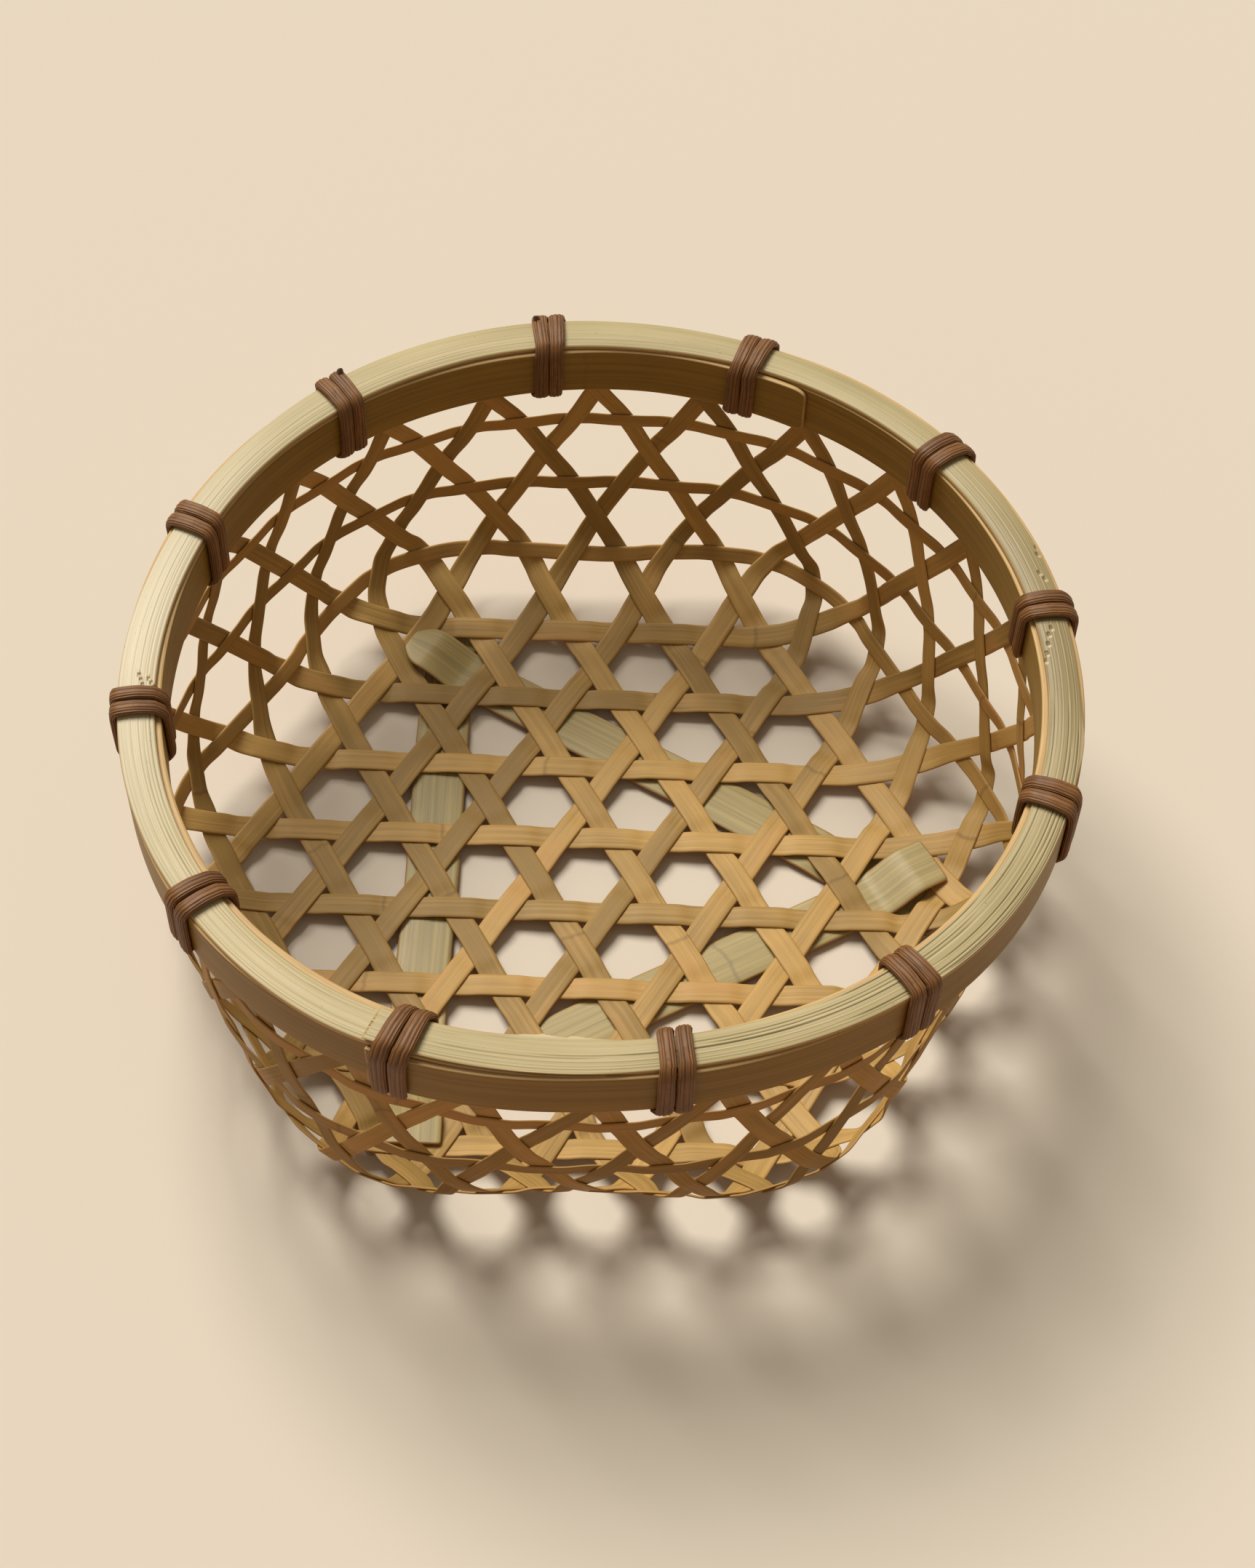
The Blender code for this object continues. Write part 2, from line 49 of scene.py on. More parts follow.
# Sizes of the CAD, repeated: the weave
STRIPS_A_WAY = 8
BOTTOM_WIDTH, EDGE_LIFT, WEAVE_HEIGHT, CLEARANCE = 0.1785, 0.0008, 0.00375, 0.0003
STRIP_WIDTH, WALL_STRIP_WIDTH, LEVEL_STRIP_WIDTH, NARROWING = 0.0068, 0.0054, 0.0045, 0.223
STRIP_END_DROP, FLAT_LIMIT = 0.0023, 0.47
RING_HEIGHTS = (0.1654, 0.4698, 0.7813)
RING_RADII = (0.9540, 0.9912, 0.9965)
RING_CORNERS = (0.046, 0.018, 0.004)
CORNER_PULLS = ((6, 0.13), (12, 0.05))

# The braces
BRACE_WIDTH, BRACE_THICKNESS, BRACE_DROP, BRACE_STACK = 0.0155, 0.0012, 0.00165, 0.0015
BRACE_UNDER_END, BRACE_OVER_END, BRACE_REACH = 0.0164, 0.0133, 0.92
BRACE_SLOPE, BRACE_RISE = 0.0120, 0.0128

# The rim, its laps and its lashings, with angles anticlockwise from +X
RIM_RADIUS, HOOP_TOP, HOOP_HEIGHT, SLOT_HALF = 0.125, 0.1012, 0.0154, 0.00105
HOOP_THICKNESS, INNER_HOOP_THICKNESS, HOOP_ROUNDING = 0.0042, 0.0050, 0.0006
COVER_THICKNESS, COVER_EDGE_THICKNESS, COVER_CROWN = 0.0018, 0.0012, 0.0006
HOOP_TIP, HOOP_TAIL, COVER_TIP, COVER_TAIL = 0.0012, 0.0009, 0.0009, 0.0006
LAP, LAP_STEP = math.radians(27), math.radians(5)
INNER_LAP, OUTER_LAP, COVER_LAP = (math.radians(a) for a in (59.1, -116.4, -116.9))
FIRST_LASHING, LASHING_REACH = math.radians(7.5), 0.0071
LASHING_SHIFTS = (0.047, 0.010, 0.030, -0.027, -0.017, -0.050,
                  -0.037, -0.047, -0.020, 0.020, 0.007, 0.050)
VINE_TURNS, VINE_THICKNESS, VINE_PINCH = 2, 0.0020, 0.45
COVER_OUTER = (0.988, 0.988, 0.985, 0.984, 0.994, 1.005, 1.002, 0.990, 0.989,
               0.998, 0.999, 0.994, 1.002, 0.994, 0.990, 0.997, 1.001, 0.996)
COVER_INNER = (0.921, 0.917, 0.914, 0.913, 0.914, 0.921, 0.916, 0.913, 0.915,
               0.921, 0.924, 0.925, 0.928, 0.918, 0.917, 0.922, 0.922, 0.923)

# The bend by hand
WALL_TURN, BOTTOM_OFFSET = math.radians(2.5), 0.0041
BEND_HEIGHTS = (0.0, 0.071, 0.1654, 0.4698, 0.7813, 0.965)
BEND_TURNS = (0.0, 0.46, 0.34, 0.28, 0.46, 1.0)
BEND_LEFT = (1.0, 0.72, 0.74, 0.86, 0.50, 0.0)
BEND_BACK = (0.0, 0.0, 0.32, 0.12, 0.12, 0.0)
OUT_OF_ROUND = ((2, 0.0033, 0.0045), (3, 0.0036, -0.0045), (4, -0.0074, -0.0030))

# What follows from them
PLACES_ROUND = 6 * STRIPS_A_WAY
PITCH = BOTTOM_WIDTH / (STRIPS_A_WAY - 1)
STEP = PITCH / math.sqrt(3)
HOOP_BOTTOM = HOOP_TOP - HOOP_HEIGHT
WALL_HEIGHT = HOOP_BOTTOM - WEAVE_HEIGHT
SLOT_RADIUS = RIM_RADIUS - HOOP_THICKNESS - SLOT_HALF
INNER_FACE = SLOT_RADIUS - SLOT_HALF - INNER_HOOP_THICKNESS

# The look's own sizes, in metres unless they are shares or degrees.
# Strips: thickness, distance from the weave's middle, drift sideways and, as a share, change of
# width; then the spacing of their rows and the spread of the bell that rounds their bends
STRIP_THICKNESS, LAY, STRIP_DRIFT, STRIP_WAVER = 0.00066, 0.00035, 0.00014, 0.02
ROW_SPACING, BEND_SPREAD = 0.0009, 0.0013
# Shares of the wall's height over which the bend by hand is eased in and rounded
BEND_EASE, BEND_ROUNDING = 0.06, 0.045
# Braces: crown of the skin, how much thinner and lower than the CAD's they are, drift sideways,
# cut wood at the ends, and how square ends and the third brace's leaf-shaped end narrow
BRACE_CROWN, BRACE_THINNER, BRACE_LOWER = 0.00022, 0.0003, 0.00005
BRACE_DRIFT, BRACE_END_CUT = 0.0004, 0.0004
SQUARE_LENGTH, SQUARE_NARROWING = 0.001, 0.05
LEAF_BRACE, LEAF_LENGTH, LEAF_NARROWING = 2, 0.0075, 0.58
# Rim: how far its faces lie inside the CAD's, cut wood at its strips' ends, the hoops' waver and
# least thickness, and the inner hoop's round tip
INSET, END_CUT, HOOP_WAVER, HOOP_LEAST = 0.00012, 0.0005, 0.00012, 0.0005
HOOP_TIP_LENGTH, HOOP_TIP_SHARE = 0.0045, 0.72
# Cover: its middle radius and half its width in the UV, lift off the hoops, least thickness,
# rounding of its edges, and ridges along it as (waves, phase)
COVER_RADIUS, COVER_HALF, COVER_LIFT, COVER_LEAST = 0.1197, 0.0047, 0.0001, 0.0003
COVER_ROUNDING, RIDGE_HEIGHT = 0.0004, 0.00002
RIDGES = ((19, 0.4), (31, 2.1), (47, 4.0))
# Splits along the cover, with their widths, and the notches at its joints, as (degrees, radius),
# each with scuffed wood beside it
SPLITS, LONG_SPLITS, SPLIT_DEPTH, SPLIT_DRIFT = 34, 9, 0.00032, 0.0003
SPLIT_WIDTHS, LONG_SPLIT_WIDER = (0.00006, 0.0001), 1.4
NOTCHES = ((0.4, 0.1152), (1.5, 0.1160), (3.0, 0.1168), (4.5, 0.1175), (5.5, 0.1185),
           (13.5, 0.1213), (14.5, 0.1205), (17.5, 0.1225), (18.6, 0.1232), (20.0, 0.1240),
           (182.0, 0.1195), (182.7, 0.1190), (183.5, 0.1185), (182.6, 0.1170),
           (183.2, 0.1163), (183.8, 0.1155))
NOTCH_LENGTH, NOTCH_WIDTH, NOTCH_DEPTH = 0.00065, 0.00045, 0.0003
SCUFF_ALONG, SCUFF_ACROSS, SCUFF_SIZE, SCUFF_HEIGHT = 0.0011, 0.0004, 0.0005, 0.0001
# Fibre torn off the cover's inner edge and a sliver on its outer one, each with its place and
# reach in degrees, how far it moves the edge and how far down; then a stretch of painted sheen
# on the left and a stretch of painted shade on the right, each with its place and reach
FRAY_AT, FRAY_REACH, FRAY_IN, FRAY_DOWN = 264, 4.5, 0.0016, 0.0004
SLIVER_AT, SLIVER_REACH, SLIVER_OUT, SLIVER_DOWN = 348, 4.0, 0.0008, 0.0003
PAINTED_SHEEN_AT, PAINTED_SHEEN_REACH, PAINTED_SHADE_AT, PAINTED_SHADE_REACH = 172, 32, 4, 28
# Vine: width, spacing of its turns, ribs, gap to what it binds, drift along the rim, radius in
# the UV, and the two cut ends that show, as (lashing, degrees, lean)
VINE_WIDTH, TURN_SPACING, VINE_RIB, VINE_GAP = 0.0043, 0.0045, 0.00022, 0.0001
VINE_DRIFT, VINE_ROUND, VINE_END_GIRTH, VINE_END_HEIGHT = 0.00022, 0.0018, 0.0010, 0.0041
VINE_ENDS = ((4, 97.9, 0.006), (5, 125.6, -0.004))
# Shifts in the UV, so that each piece shows its own stretch of bamboo or vine
STRIP_SHIFT, BRACE_SHIFT, VINE_SHIFT = (1.37, 0.013), (2.11, 0.05), 0.7
BRACE_START, COVER_START, VINE_END_START = 9.3, 21.0, 3.1
# From one joint of the bamboo to the next, how far joint lines waver, and their share of that
JOINT_SPACING, JOINT_WAVER, JOINT_SHARE = 0.231, 0.004, 0.0045

# The window's direction and the camera, as fitted to the photograph
TOWARD_WINDOW = (-0.60, 0.88, 1.52)
SENSOR_WIDTH, LENS = 36.0, 78.55
CAMERA_PLACE = (0.010624, -0.439258, 0.658597)
CAMERA_RIGHT, CAMERA_BACK = (0.99943, 0.02948, 0.01627), (0.00404, -0.58475, 0.81121)


def unit(v):
    return v / np.maximum(np.linalg.norm(v, axis=-1, keepdims=True), 1e-12)


def ease(x):
    """Rises from 0 to 1 with level ends."""
    x = np.clip(x, 0, 1)
    return x * x * (3 - 2 * x)


def bell(x, width):
    return np.exp(-(x / width) ** 2)


def patch(along, across, half_along, half_across):
    """1 inside a small rectangle with rounded corners, 0 outside it."""
    return np.exp(-(along / half_along) ** 6 - (across / half_across) ** 6)


def degrees_off(degrees, middle):
    """Degrees from the middle, from -180 to 180."""
    return (degrees - middle + 180) % 360 - 180


def waves(x, seed, terms=5, longest=1.0):
    """A smooth random curve: a sum of sines of falling length and size, about -1 to 1."""
    rng = np.random.default_rng(seed)
    total = 0
    for k in range(terms):
        total = total + np.sin(TURN * (x * (1.7 ** k) / longest + rng.random())) / (1.35 ** k)
    return total / 2.4


def stacked(*parts):
    """Arrays spread to one shape and joined along a new last axis."""
    return np.stack(np.broadcast_arrays(*parts), -1)


def ring_points(angle, radius, height):
    return stacked(radius * np.cos(angle), radius * np.sin(angle), height)


def lengths(points):
    """Length of a broken line up to each of its points."""
    steps = np.linalg.norm(np.diff(points, axis=0), axis=1)
    return np.concatenate([[0], np.cumsum(steps)])


def smoothed(rows, spread, reach, closed=False):
    """Rows averaged with a bell of a spread and reach in rows. Open ends stay in place."""
    kernel = np.exp(-0.5 * (np.arange(-reach, reach + 1) / spread) ** 2)
    kernel /= kernel.sum()
    if closed:
        first, last = rows[-reach:], rows[:reach]
    else:
        first, last = 2 * rows[0] - rows[reach:0:-1], 2 * rows[-1] - rows[-2:-reach - 2:-1]
    padded = np.concatenate([first, rows, last])
    return np.column_stack([np.convolve(column, kernel, "valid") for column in padded.T])


def rounded(share, values):
    """The line through the CAD's bend values, with its corners rounded."""
    reach = np.linspace(-BEND_ROUNDING, BEND_ROUNDING, 9)
    return sum(np.interp(share + r, BEND_HEIGHTS, values) for r in reach) / len(reach)


def hand_bent(p):
    """The CAD's own bend: turn, lean and out-of-round growing from the bottom to the rim."""
    share = np.clip((p[:, 2] - WEAVE_HEIGHT) / WALL_HEIGHT, 0, 1)
    weight = ease(share / BEND_EASE) * ease((1 - share) / BEND_EASE)
    turn, left, back = ((1 - weight) * np.interp(share, BEND_HEIGHTS, values)
                        + weight * rounded(share, values)
                        for values in (BEND_TURNS, BEND_LEFT, BEND_BACK))
    angle = np.arctan2(p[:, 1], p[:, 0]) + WALL_TURN * turn
    swell = sum(c * np.cos(k * angle) + s * np.sin(k * angle) for k, c, s in OUT_OF_ROUND)
    reach = np.hypot(p[:, 0], p[:, 1]) * (1 + swell * share)
    return np.column_stack([reach * np.cos(angle) - BOTTOM_OFFSET * left,
                            reach * np.sin(angle) + BOTTOM_OFFSET * back, p[:, 2]])


# Meshes

def add_object(name, data):
    made = bpy.data.objects.new(name, data)
    bpy.context.scene.collection.objects.link(made)
    return made


def skin_quads(points, rows, cols, closed):
    """Quads of a grid that closes round its section, with caps on open ends, facing outwards."""
    i = np.arange(rows if closed else rows - 1)[:, None]
    j = np.arange(cols)[None, :]
    ahead, across = (i + 1) % rows, (j + 1) % cols
    quads = np.stack([i * cols + j, i * cols + across, ahead * cols + across, ahead * cols + j], -1)
    quads = quads.reshape(-1, 4)
    if not closed:
        k = np.arange(cols // 2 - 1)
        cap = np.stack([k, k + 1, cols - 2 - k, cols - 1 - k], -1)
        quads = np.concatenate([quads, cap[:, ::-1], cap + (rows - 1) * cols])
    a, b, c, d = (points[quads[:, n]] for n in range(4))
    inwards = (np.cross(c - a, d - b) * (a + c)).sum() < 0
    return quads[:, ::-1] if inwards else quads


def make_mesh(name, node, finish, grid, uv, fields, closed=False):
    """Makes a piece of a grid of points [along, round, 3], with its UV map and vertex fields."""
    rows, cols = grid.shape[:2]
    points = hand_bent(grid.reshape(-1, 3))
    quads = skin_quads(points, rows, cols, closed)
    mesh = bpy.data.meshes.new(name)
    mesh.vertices.add(len(points))
    mesh.vertices.foreach_set("co", points.ravel())
    mesh.loops.add(quads.size)
    mesh.loops.foreach_set("vertex_index", quads.ravel())
    mesh.polygons.add(len(quads))
    mesh.polygons.foreach_set("loop_start", np.arange(0, quads.size, 4))
    mesh.update(calc_edges=True)
    mesh.polygons.foreach_set("use_smooth", np.ones(len(quads), bool))
    # In a closed strip the last quads run on past its length, not back to its start
    flat = uv.reshape(-1, 2)[quads.ravel()].reshape(-1, 4, 2)
    seam = np.abs(flat[:, :, 0].max(1) - flat[:, :, 0].min(1)) > 0.3
    low = seam[:, None] & (flat[:, :, 0] < flat[:, :, 0].mean(1, keepdims=True))
    flat[:, :, 0] += low * np.ptp(uv[..., 0])
    layer = mesh.uv_layers.new(name="Along")
    layer.data.foreach_set("uv", flat.ravel())
    for field, values in fields.items():
        made = mesh.attributes.new(field, "FLOAT", "POINT")
        spread = np.broadcast_to(values, grid.shape[:2]).astype(float)
        made.data.foreach_set("value", spread.ravel())
    mesh.validate()
    mesh.materials.append(finish)
    piece = add_object(name, mesh)
    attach(piece, "root")
    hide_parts(node)
    return piece


def slab_section(half_count, power):
    """Points round a flat section, as shares of half its width and half its thickness. With t from
    -1 to 1, a = (0.35 sin(pi t / 2) + 0.65 t)^0.7 and b = (1 - |a|^power)^(1 / power), at least
    0.3, over the top and back below."""
    t = np.linspace(-1, 1, half_count)
    a = np.sin(t * np.pi / 2) * 0.35 + t * 0.65
    a = np.sign(a) * np.abs(a) ** 0.7
    b = np.maximum(np.maximum(1 - np.abs(a) ** power, 0) ** (1 / power), 0.3)
    return np.concatenate([a, a[::-1]]), np.concatenate([b, -b[::-1]])


# The weave's paths, as in the CAD: rows 0, 2 and 4 of the wall are the level strips'

TOP_RING = 4


def way_direction(way):
    return np.array([math.cos(way * math.pi / 3), math.sin(way * math.pi / 3)])


def way_offset(way, flat):
    along = way_direction(way)
    return float(along[0] * flat[1] - along[1] * flat[0])


def crossing_way(way, flat):
    for other in range(3):
        place = way_offset(other, flat) / PITCH + 0.5
        if other != way and abs(place - round(place)) < 0.1:
            return other
    raise ValueError("no strip crosses here")


def hexagon_point(across_flats, angle):
    side, along = divmod(angle * 3 / math.pi, 1)
    first, second = side * math.pi / 3, (side + 1) * math.pi / 3
    return across_flats / math.sqrt(3) * np.array([
        (1 - along) * math.cos(first) + along * math.cos(second),
        (1 - along) * math.sin(first) + along * math.sin(second)])


def row_outline(row, angle):
    if row < 0:
        return hexagon_point(BOTTOM_WIDTH + (row + 2) * PITCH, angle)
    radius = SLOT_RADIUS
    if row <= TOP_RING:
        ring = row // 2
        radius *= RING_RADII[ring] * (1 + RING_CORNERS[ring] * math.cos(6 * angle))
    return radius * np.array([math.cos(angle), math.sin(angle)])


def row_height(row):
    top, below = RING_HEIGHTS[2] * WALL_HEIGHT, RING_HEIGHTS[1] * WALL_HEIGHT
    if row < 0:
        return EDGE_LIFT if row == -2 else 0.0
    if row > TOP_RING:
        return top + (row - TOP_RING) / 2 * (top - below)
    return RING_HEIGHTS[row // 2] * WALL_HEIGHT


def cubic_weights(q):
    return (-q * (1 - q) ** 2 / 2, 1 - q ** 2 * (5 - 3 * q) / 2,
            q * (1 + q * (4 - 3 * q)) / 2, -q ** 2 * (1 - q) / 2)


def wall_point(row, angle):
    """A cubic through the four nearest even rows."""
    first = 2 * math.floor(row / 2)
    weights = cubic_weights((row - first) / 2)
    rows = (first - 2, first, first + 2, first + 4)
    flat = sum(w * row_outline(r, angle) for w, r in zip(weights, rows))
    height = sum(w * row_height(r) for w, r in zip(weights, rows))
    return np.array([*flat, WEAVE_HEIGHT + height])


def round_angle(place, row):
    apart = TURN / PLACES_ROUND
    angle = (place - 0.5) * apart
    if row < 0:
        angle -= sum(pull * apart * math.sin(k * (place - 0.5) * apart) for k, pull in CORNER_PULLS)
    return angle


def strip_half(offset):
    """Half the length of a strip on the bottom, out to the first crossing at its edge."""
    return (STRIPS_A_WAY - 1) * STEP - abs(offset) / math.sqrt(3)


def bottom_path(way, offset):
    half = strip_half(offset)
    along = way_direction(way)
    sideways = np.array([-along[1], along[0]])
    path = []
    for index in range(round(2 * half / STEP) + 1):
        flat = sideways * offset + along * (index * STEP - half)
        outermost = max(abs(way_offset(other, flat)) for other in range(3))
        lift = EDGE_LIFT if outermost > BOTTOM_WIDTH / 2 - STEP / 4 else 0.0
        key = ("bottom", *(round(8 * value / STEP) for value in flat))
        inner = (way - crossing_way(way, flat)) % 3 == 1
        path.append((key, np.array([*flat, WEAVE_HEIGHT + lift]), inner))
    return path


def wall_path(way, offset, end):
    half = strip_half(offset)
    along = way_direction(way)
    leave = np.array([-along[1], along[0]]) * offset + along * half * end
    turned = way if end > 0 else way + 3
    side = turned if offset * end > 0 else turned - 1
    normal = math.pi / 6 + side * math.pi / 3
    across = (leave[1] * math.cos(normal) - leave[0] * math.sin(normal)) / STEP
    place = round(across + (STRIPS_A_WAY - 1) / 2)
    forward = place % 2 == 0
    sense = 1 if forward else -1
    start = side * STRIPS_A_WAY + place + (1.5 if forward else 0.5)
    path = []
    for row in range(-1, TOP_RING + 2):
        around = start + sense * (row + 1) / 2
        key = ("wall", row, round(2 * around) % (2 * PLACES_ROUND))
        inner = (row % 2 == 1) == forward
        path.append((key, wall_point(row, round_angle(around, row)), inner))
    rise = (HOOP_TOP - STRIP_END_DROP - WALL_STRIP_WIDTH / 3 - WEAVE_HEIGHT
            - row_height(TOP_RING))
    last = TOP_RING + 2 * rise / (row_height(TOP_RING + 2) - row_height(TOP_RING))
    for share in (0.5, 1.0):
        row = TOP_RING + 1 + share * (last - TOP_RING - 1)
        angle = round_angle(start + sense * (row + 1) / 2, row)
        path.append((None, wall_point(row, angle), forward))
    return path


def ring_path(ring):
    row = 2 * ring
    return [(("wall", row, 2 * place), wall_point(row, round_angle(place, row)),
             place % 2 == ring % 2) for place in range(PLACES_ROUND)]


def strip_width(height):
    """Width of a bottom strip at a height above the bottom weave: it narrows up the wall."""
    share = ease(height / (NARROWING * WALL_HEIGHT))
    return STRIP_WIDTH - (STRIP_WIDTH - WALL_STRIP_WIDTH) * share


def directions(path, closed):
    points = np.array([point for _, point, _ in path])
    if closed:
        return unit(np.roll(points, -1, 0) - np.roll(points, 1, 0))
    return unit(np.gradient(points, axis=0))


def shared_normals(paths):
    """At each crossing, the normal that its two strips share and half the length of their flats."""
    meeting = {}
    for path, closed in paths:
        for (key, point, _), direction in zip(path, directions(path, closed)):
            if key is not None:
                meeting.setdefault(key, []).append((point, direction))
    shared = {}
    for key, ((point, one), (_, two)) in meeting.items():
        normal = unit(np.cross(one, two))
        inwards = np.sign(normal @ (np.array([0, 0, HOOP_TOP]) - point))
        cosine = abs(float(one @ two))
        width = float(strip_width(point[2] - WEAVE_HEIGHT))
        flat = width / 2 * (1 + cosine) / math.sqrt(1 - cosine * cosine)
        shared[key] = (normal * inwards, flat)
    return shared


def stations(path, closed, shared):
    """Rows of centre, normal and sideways where a strip's flat parts begin and end."""
    points = np.array([point for _, point, _ in path])
    gaps = np.linalg.norm(np.roll(points, -1, 0) - points, axis=1)
    keyed = [key is not None for key, _, _ in path]
    rows = []
    for index, ((key, point, inner), direction) in enumerate(zip(path, directions(path, closed))):
        if key is None:
            normal, places = -unit(point * np.array([1, 1, 0])), (0.0,)
        else:
            normal, flat = shared[key]
            before, after = index - 1, (index + 1) % len(path)
            near = [g for g, at in ((gaps[before], before), (gaps[index], after)) if keyed[at]]
            flat = min([flat] + [FLAT_LIMIT * gap for gap in near])
            places = (-flat, flat)
        sideways = unit(np.cross(normal, direction))
        middle = point + normal * (LAY if inner else -LAY)
        rows += [np.concatenate([middle + direction * at, normal, sideways]) for at in places]
    return np.array(rows)


def smooth_track(rows, closed):
    """Length, centre, normal and sideways along a strip: its stations' broken line, rounded."""
    if closed:
        rows = np.concatenate([rows, rows[:1]])
    s = lengths(rows[:, :3])
    u = np.linspace(0, s[-1], int(s[-1] / ROW_SPACING) + 1)
    dense = np.column_stack([np.interp(u, s, column) for column in rows.T])
    if closed:
        dense, u = dense[:-1], u[:-1]
    spread = BEND_SPREAD / ROW_SPACING
    smooth = smoothed(dense, spread, int(3 * spread), closed)
    return u, smooth[:, :3], unit(smooth[:, 3:6]), unit(smooth[:, 6:9])


def strip_piece(name, path, closed, shared, number, finish):
    """A split strip: P = centre + (w a(t) + drift) sideways + h b(t) normal, w and drift vary."""
    u, centre, normal, sideways = smooth_track(stations(path, closed, shared), closed)
    a, b = slab_section(9, 7)
    rng = np.random.default_rng(100 + number)
    turns = u / u[-1] if closed else u
    longest = 0.5 if closed else 0.2
    width = LEVEL_STRIP_WIDTH if closed else strip_width(centre[:, 2] - WEAVE_HEIGHT)
    width = width * (0.985 + 0.06 * rng.random())
    width = width * (1 + STRIP_WAVER * waves(turns, number, 4, longest))
    drift = STRIP_DRIFT * waves(turns, 50 + number, 3, longest)
    across = a[None, :, None] * width[:, None, None] / 2 + drift[:, None, None]
    grid = (centre[:, None] + sideways[:, None] * across
            + normal[:, None] * b[None, :, None] * STRIP_THICKNESS / 2)
    uv = stacked(u[:, None] + number * STRIP_SHIFT[0],
                 a[None] * STRIP_WIDTH / 2 + number * STRIP_SHIFT[1])
    fields = {"tint": rng.random(), "cut": np.abs(a) > 0.97, "skin": b < 0}
    make_mesh("look_" + name, name, finish, grid, uv, fields, closed)


# Materials

BLACK = (0, 0, 0, 1)


class Nodes:
    """Adds and links nodes in a tree with short calls."""

    def __init__(self, tree):
        self.tree = tree

    def fill(self, socket, value):
        if isinstance(value, bpy.types.NodeSocket):
            self.tree.links.new(value, socket)
        else:
            socket.default_value = value

    def add(self, kind, inputs=None, **settings):
        node = self.tree.nodes.new(kind)
        for key, value in settings.items():
            setattr(node, key, value)
        for key, value in (inputs or {}).items():
            self.fill(node.inputs[key], value)
        return node

    def maths(self, operation, a, b=0.0, clamp=False):
        node = self.add("ShaderNodeMath", {0: a, 1: b}, operation=operation, use_clamp=clamp)
        return node.outputs[0]

    def place(self):
        """The piece's own UV: metres along it and metres round it."""
        uv = self.add("ShaderNodeUVMap", uv_map="Along").outputs["UV"]
        parts = self.add("ShaderNodeSeparateXYZ", {0: uv}).outputs
        return parts[0], parts[1]

    def noise(self, place, along, across, detail=3.0, roughness=0.5):
        """Noise over a place, at so many cells a metre along the piece and round it."""
        scaled = self.add("ShaderNodeCombineXYZ", {0: self.maths("MULTIPLY", place[0], along),
                                                   1: self.maths("MULTIPLY", place[1], across)})
        node = self.add("ShaderNodeTexNoise", {"Vector": scaled.outputs[0], "Scale": 1.0,
                                               "Detail": detail, "Roughness": roughness})
        return node.outputs["Fac"]

    def band(self, value, low, high, to_low=0.0, to_high=1.0):
        node = self.add("ShaderNodeMapRange", {"Value": value, "From Min": low, "From Max": high,
                                               "To Min": to_low, "To Max": to_high},
                        interpolation_type="SMOOTHSTEP")
        return node.outputs["Result"]

    def mix(self, share, a, b):
        node = self.add("ShaderNodeMix", data_type="RGBA", blend_type="MIX")
        for index, value in ((0, share), (6, a), (7, b)):
            self.fill(node.inputs[index], value)
        return node.outputs[2]

    def field(self, name):
        return self.add("ShaderNodeAttribute", attribute_name=name).outputs["Fac"]

    def masked(self, colour, name, share, other):
        """Colour with a share of another one where a field is 1."""
        return self.mix(self.maths("MULTIPLY", self.field(name), share), colour, other)

    def dark_fibres(self, fine, low, high, share, colour, depth):
        """Colour with its darkest fibres, those below low, mixed with black by share and depth."""
        return self.mix(self.band(fine, low, high, share, 0.0), colour,
                        self.mix(depth, colour, BLACK))


def rgb(red, green, blue):
    """A colour written in display values, turned to the linear values that a shader takes."""
    parts = [c / 255 for c in (red, green, blue)]
    linear = [c / 12.92 if c <= 0.04045 else ((c + 0.055) / 1.055) ** 2.4 for c in parts]
    return (*linear, 1.0)


def fibre_group():
    """Masks of split bamboo from its UV: fine fibres, streaks, patches and joint lines."""
    group = bpy.data.node_groups.new("bamboo_fibres", "ShaderNodeTree")
    for name in ("Fibres", "Streaks", "Patches", "Joints"):
        group.interface.new_socket(name, in_out="OUTPUT", socket_type="NodeSocketFloat")
    n = Nodes(group)
    place = n.place()
    fine = n.noise(place, 45, 2800, detail=4, roughness=0.65)
    streaks = n.noise(place, 9, 900, detail=3, roughness=0.6)
    patches = n.noise(place, 22, 60, detail=2)
    wobble = n.maths("MULTIPLY", n.noise(place, 3, 150), JOINT_WAVER)
    cycle = n.maths("DIVIDE", n.maths("ADD", place[0], wobble), JOINT_SPACING)
    away = n.maths("ABSOLUTE", n.maths("SUBTRACT", n.maths("FRACT", cycle), 0.5))
    joints = n.band(away, 0.0, JOINT_SHARE, 1.0, 0.0)
    out = n.add("NodeGroupOutput")
    for index, value in enumerate((fine, streaks, patches, joints)):
        group.links.new(value, out.inputs[index])
    return group


def new_material(name):
    made = bpy.data.materials.new(name)
    made.use_nodes = True
    return made, Nodes(made.node_tree), made.node_tree.nodes["Principled BSDF"]


def bamboo_material(name, fibres):
    """A new material with the four masks of the fibres."""
    made, n, shader = new_material(name)
    return made, n, shader, n.add("ShaderNodeGroup", node_tree=fibres).outputs


def put(n, shader, colour, roughness, height, strength, distance, specular=0.5):
    """Links colour, roughness and a bump to the shader."""
    bump = n.add("ShaderNodeBump", {"Height": height, "Strength": strength, "Distance": distance})
    n.fill(shader.inputs["Base Color"], colour)
    n.fill(shader.inputs["Roughness"], roughness)
    n.fill(shader.inputs["Normal"], bump.outputs[0])
    n.fill(shader.inputs["Specular IOR Level"], specular)


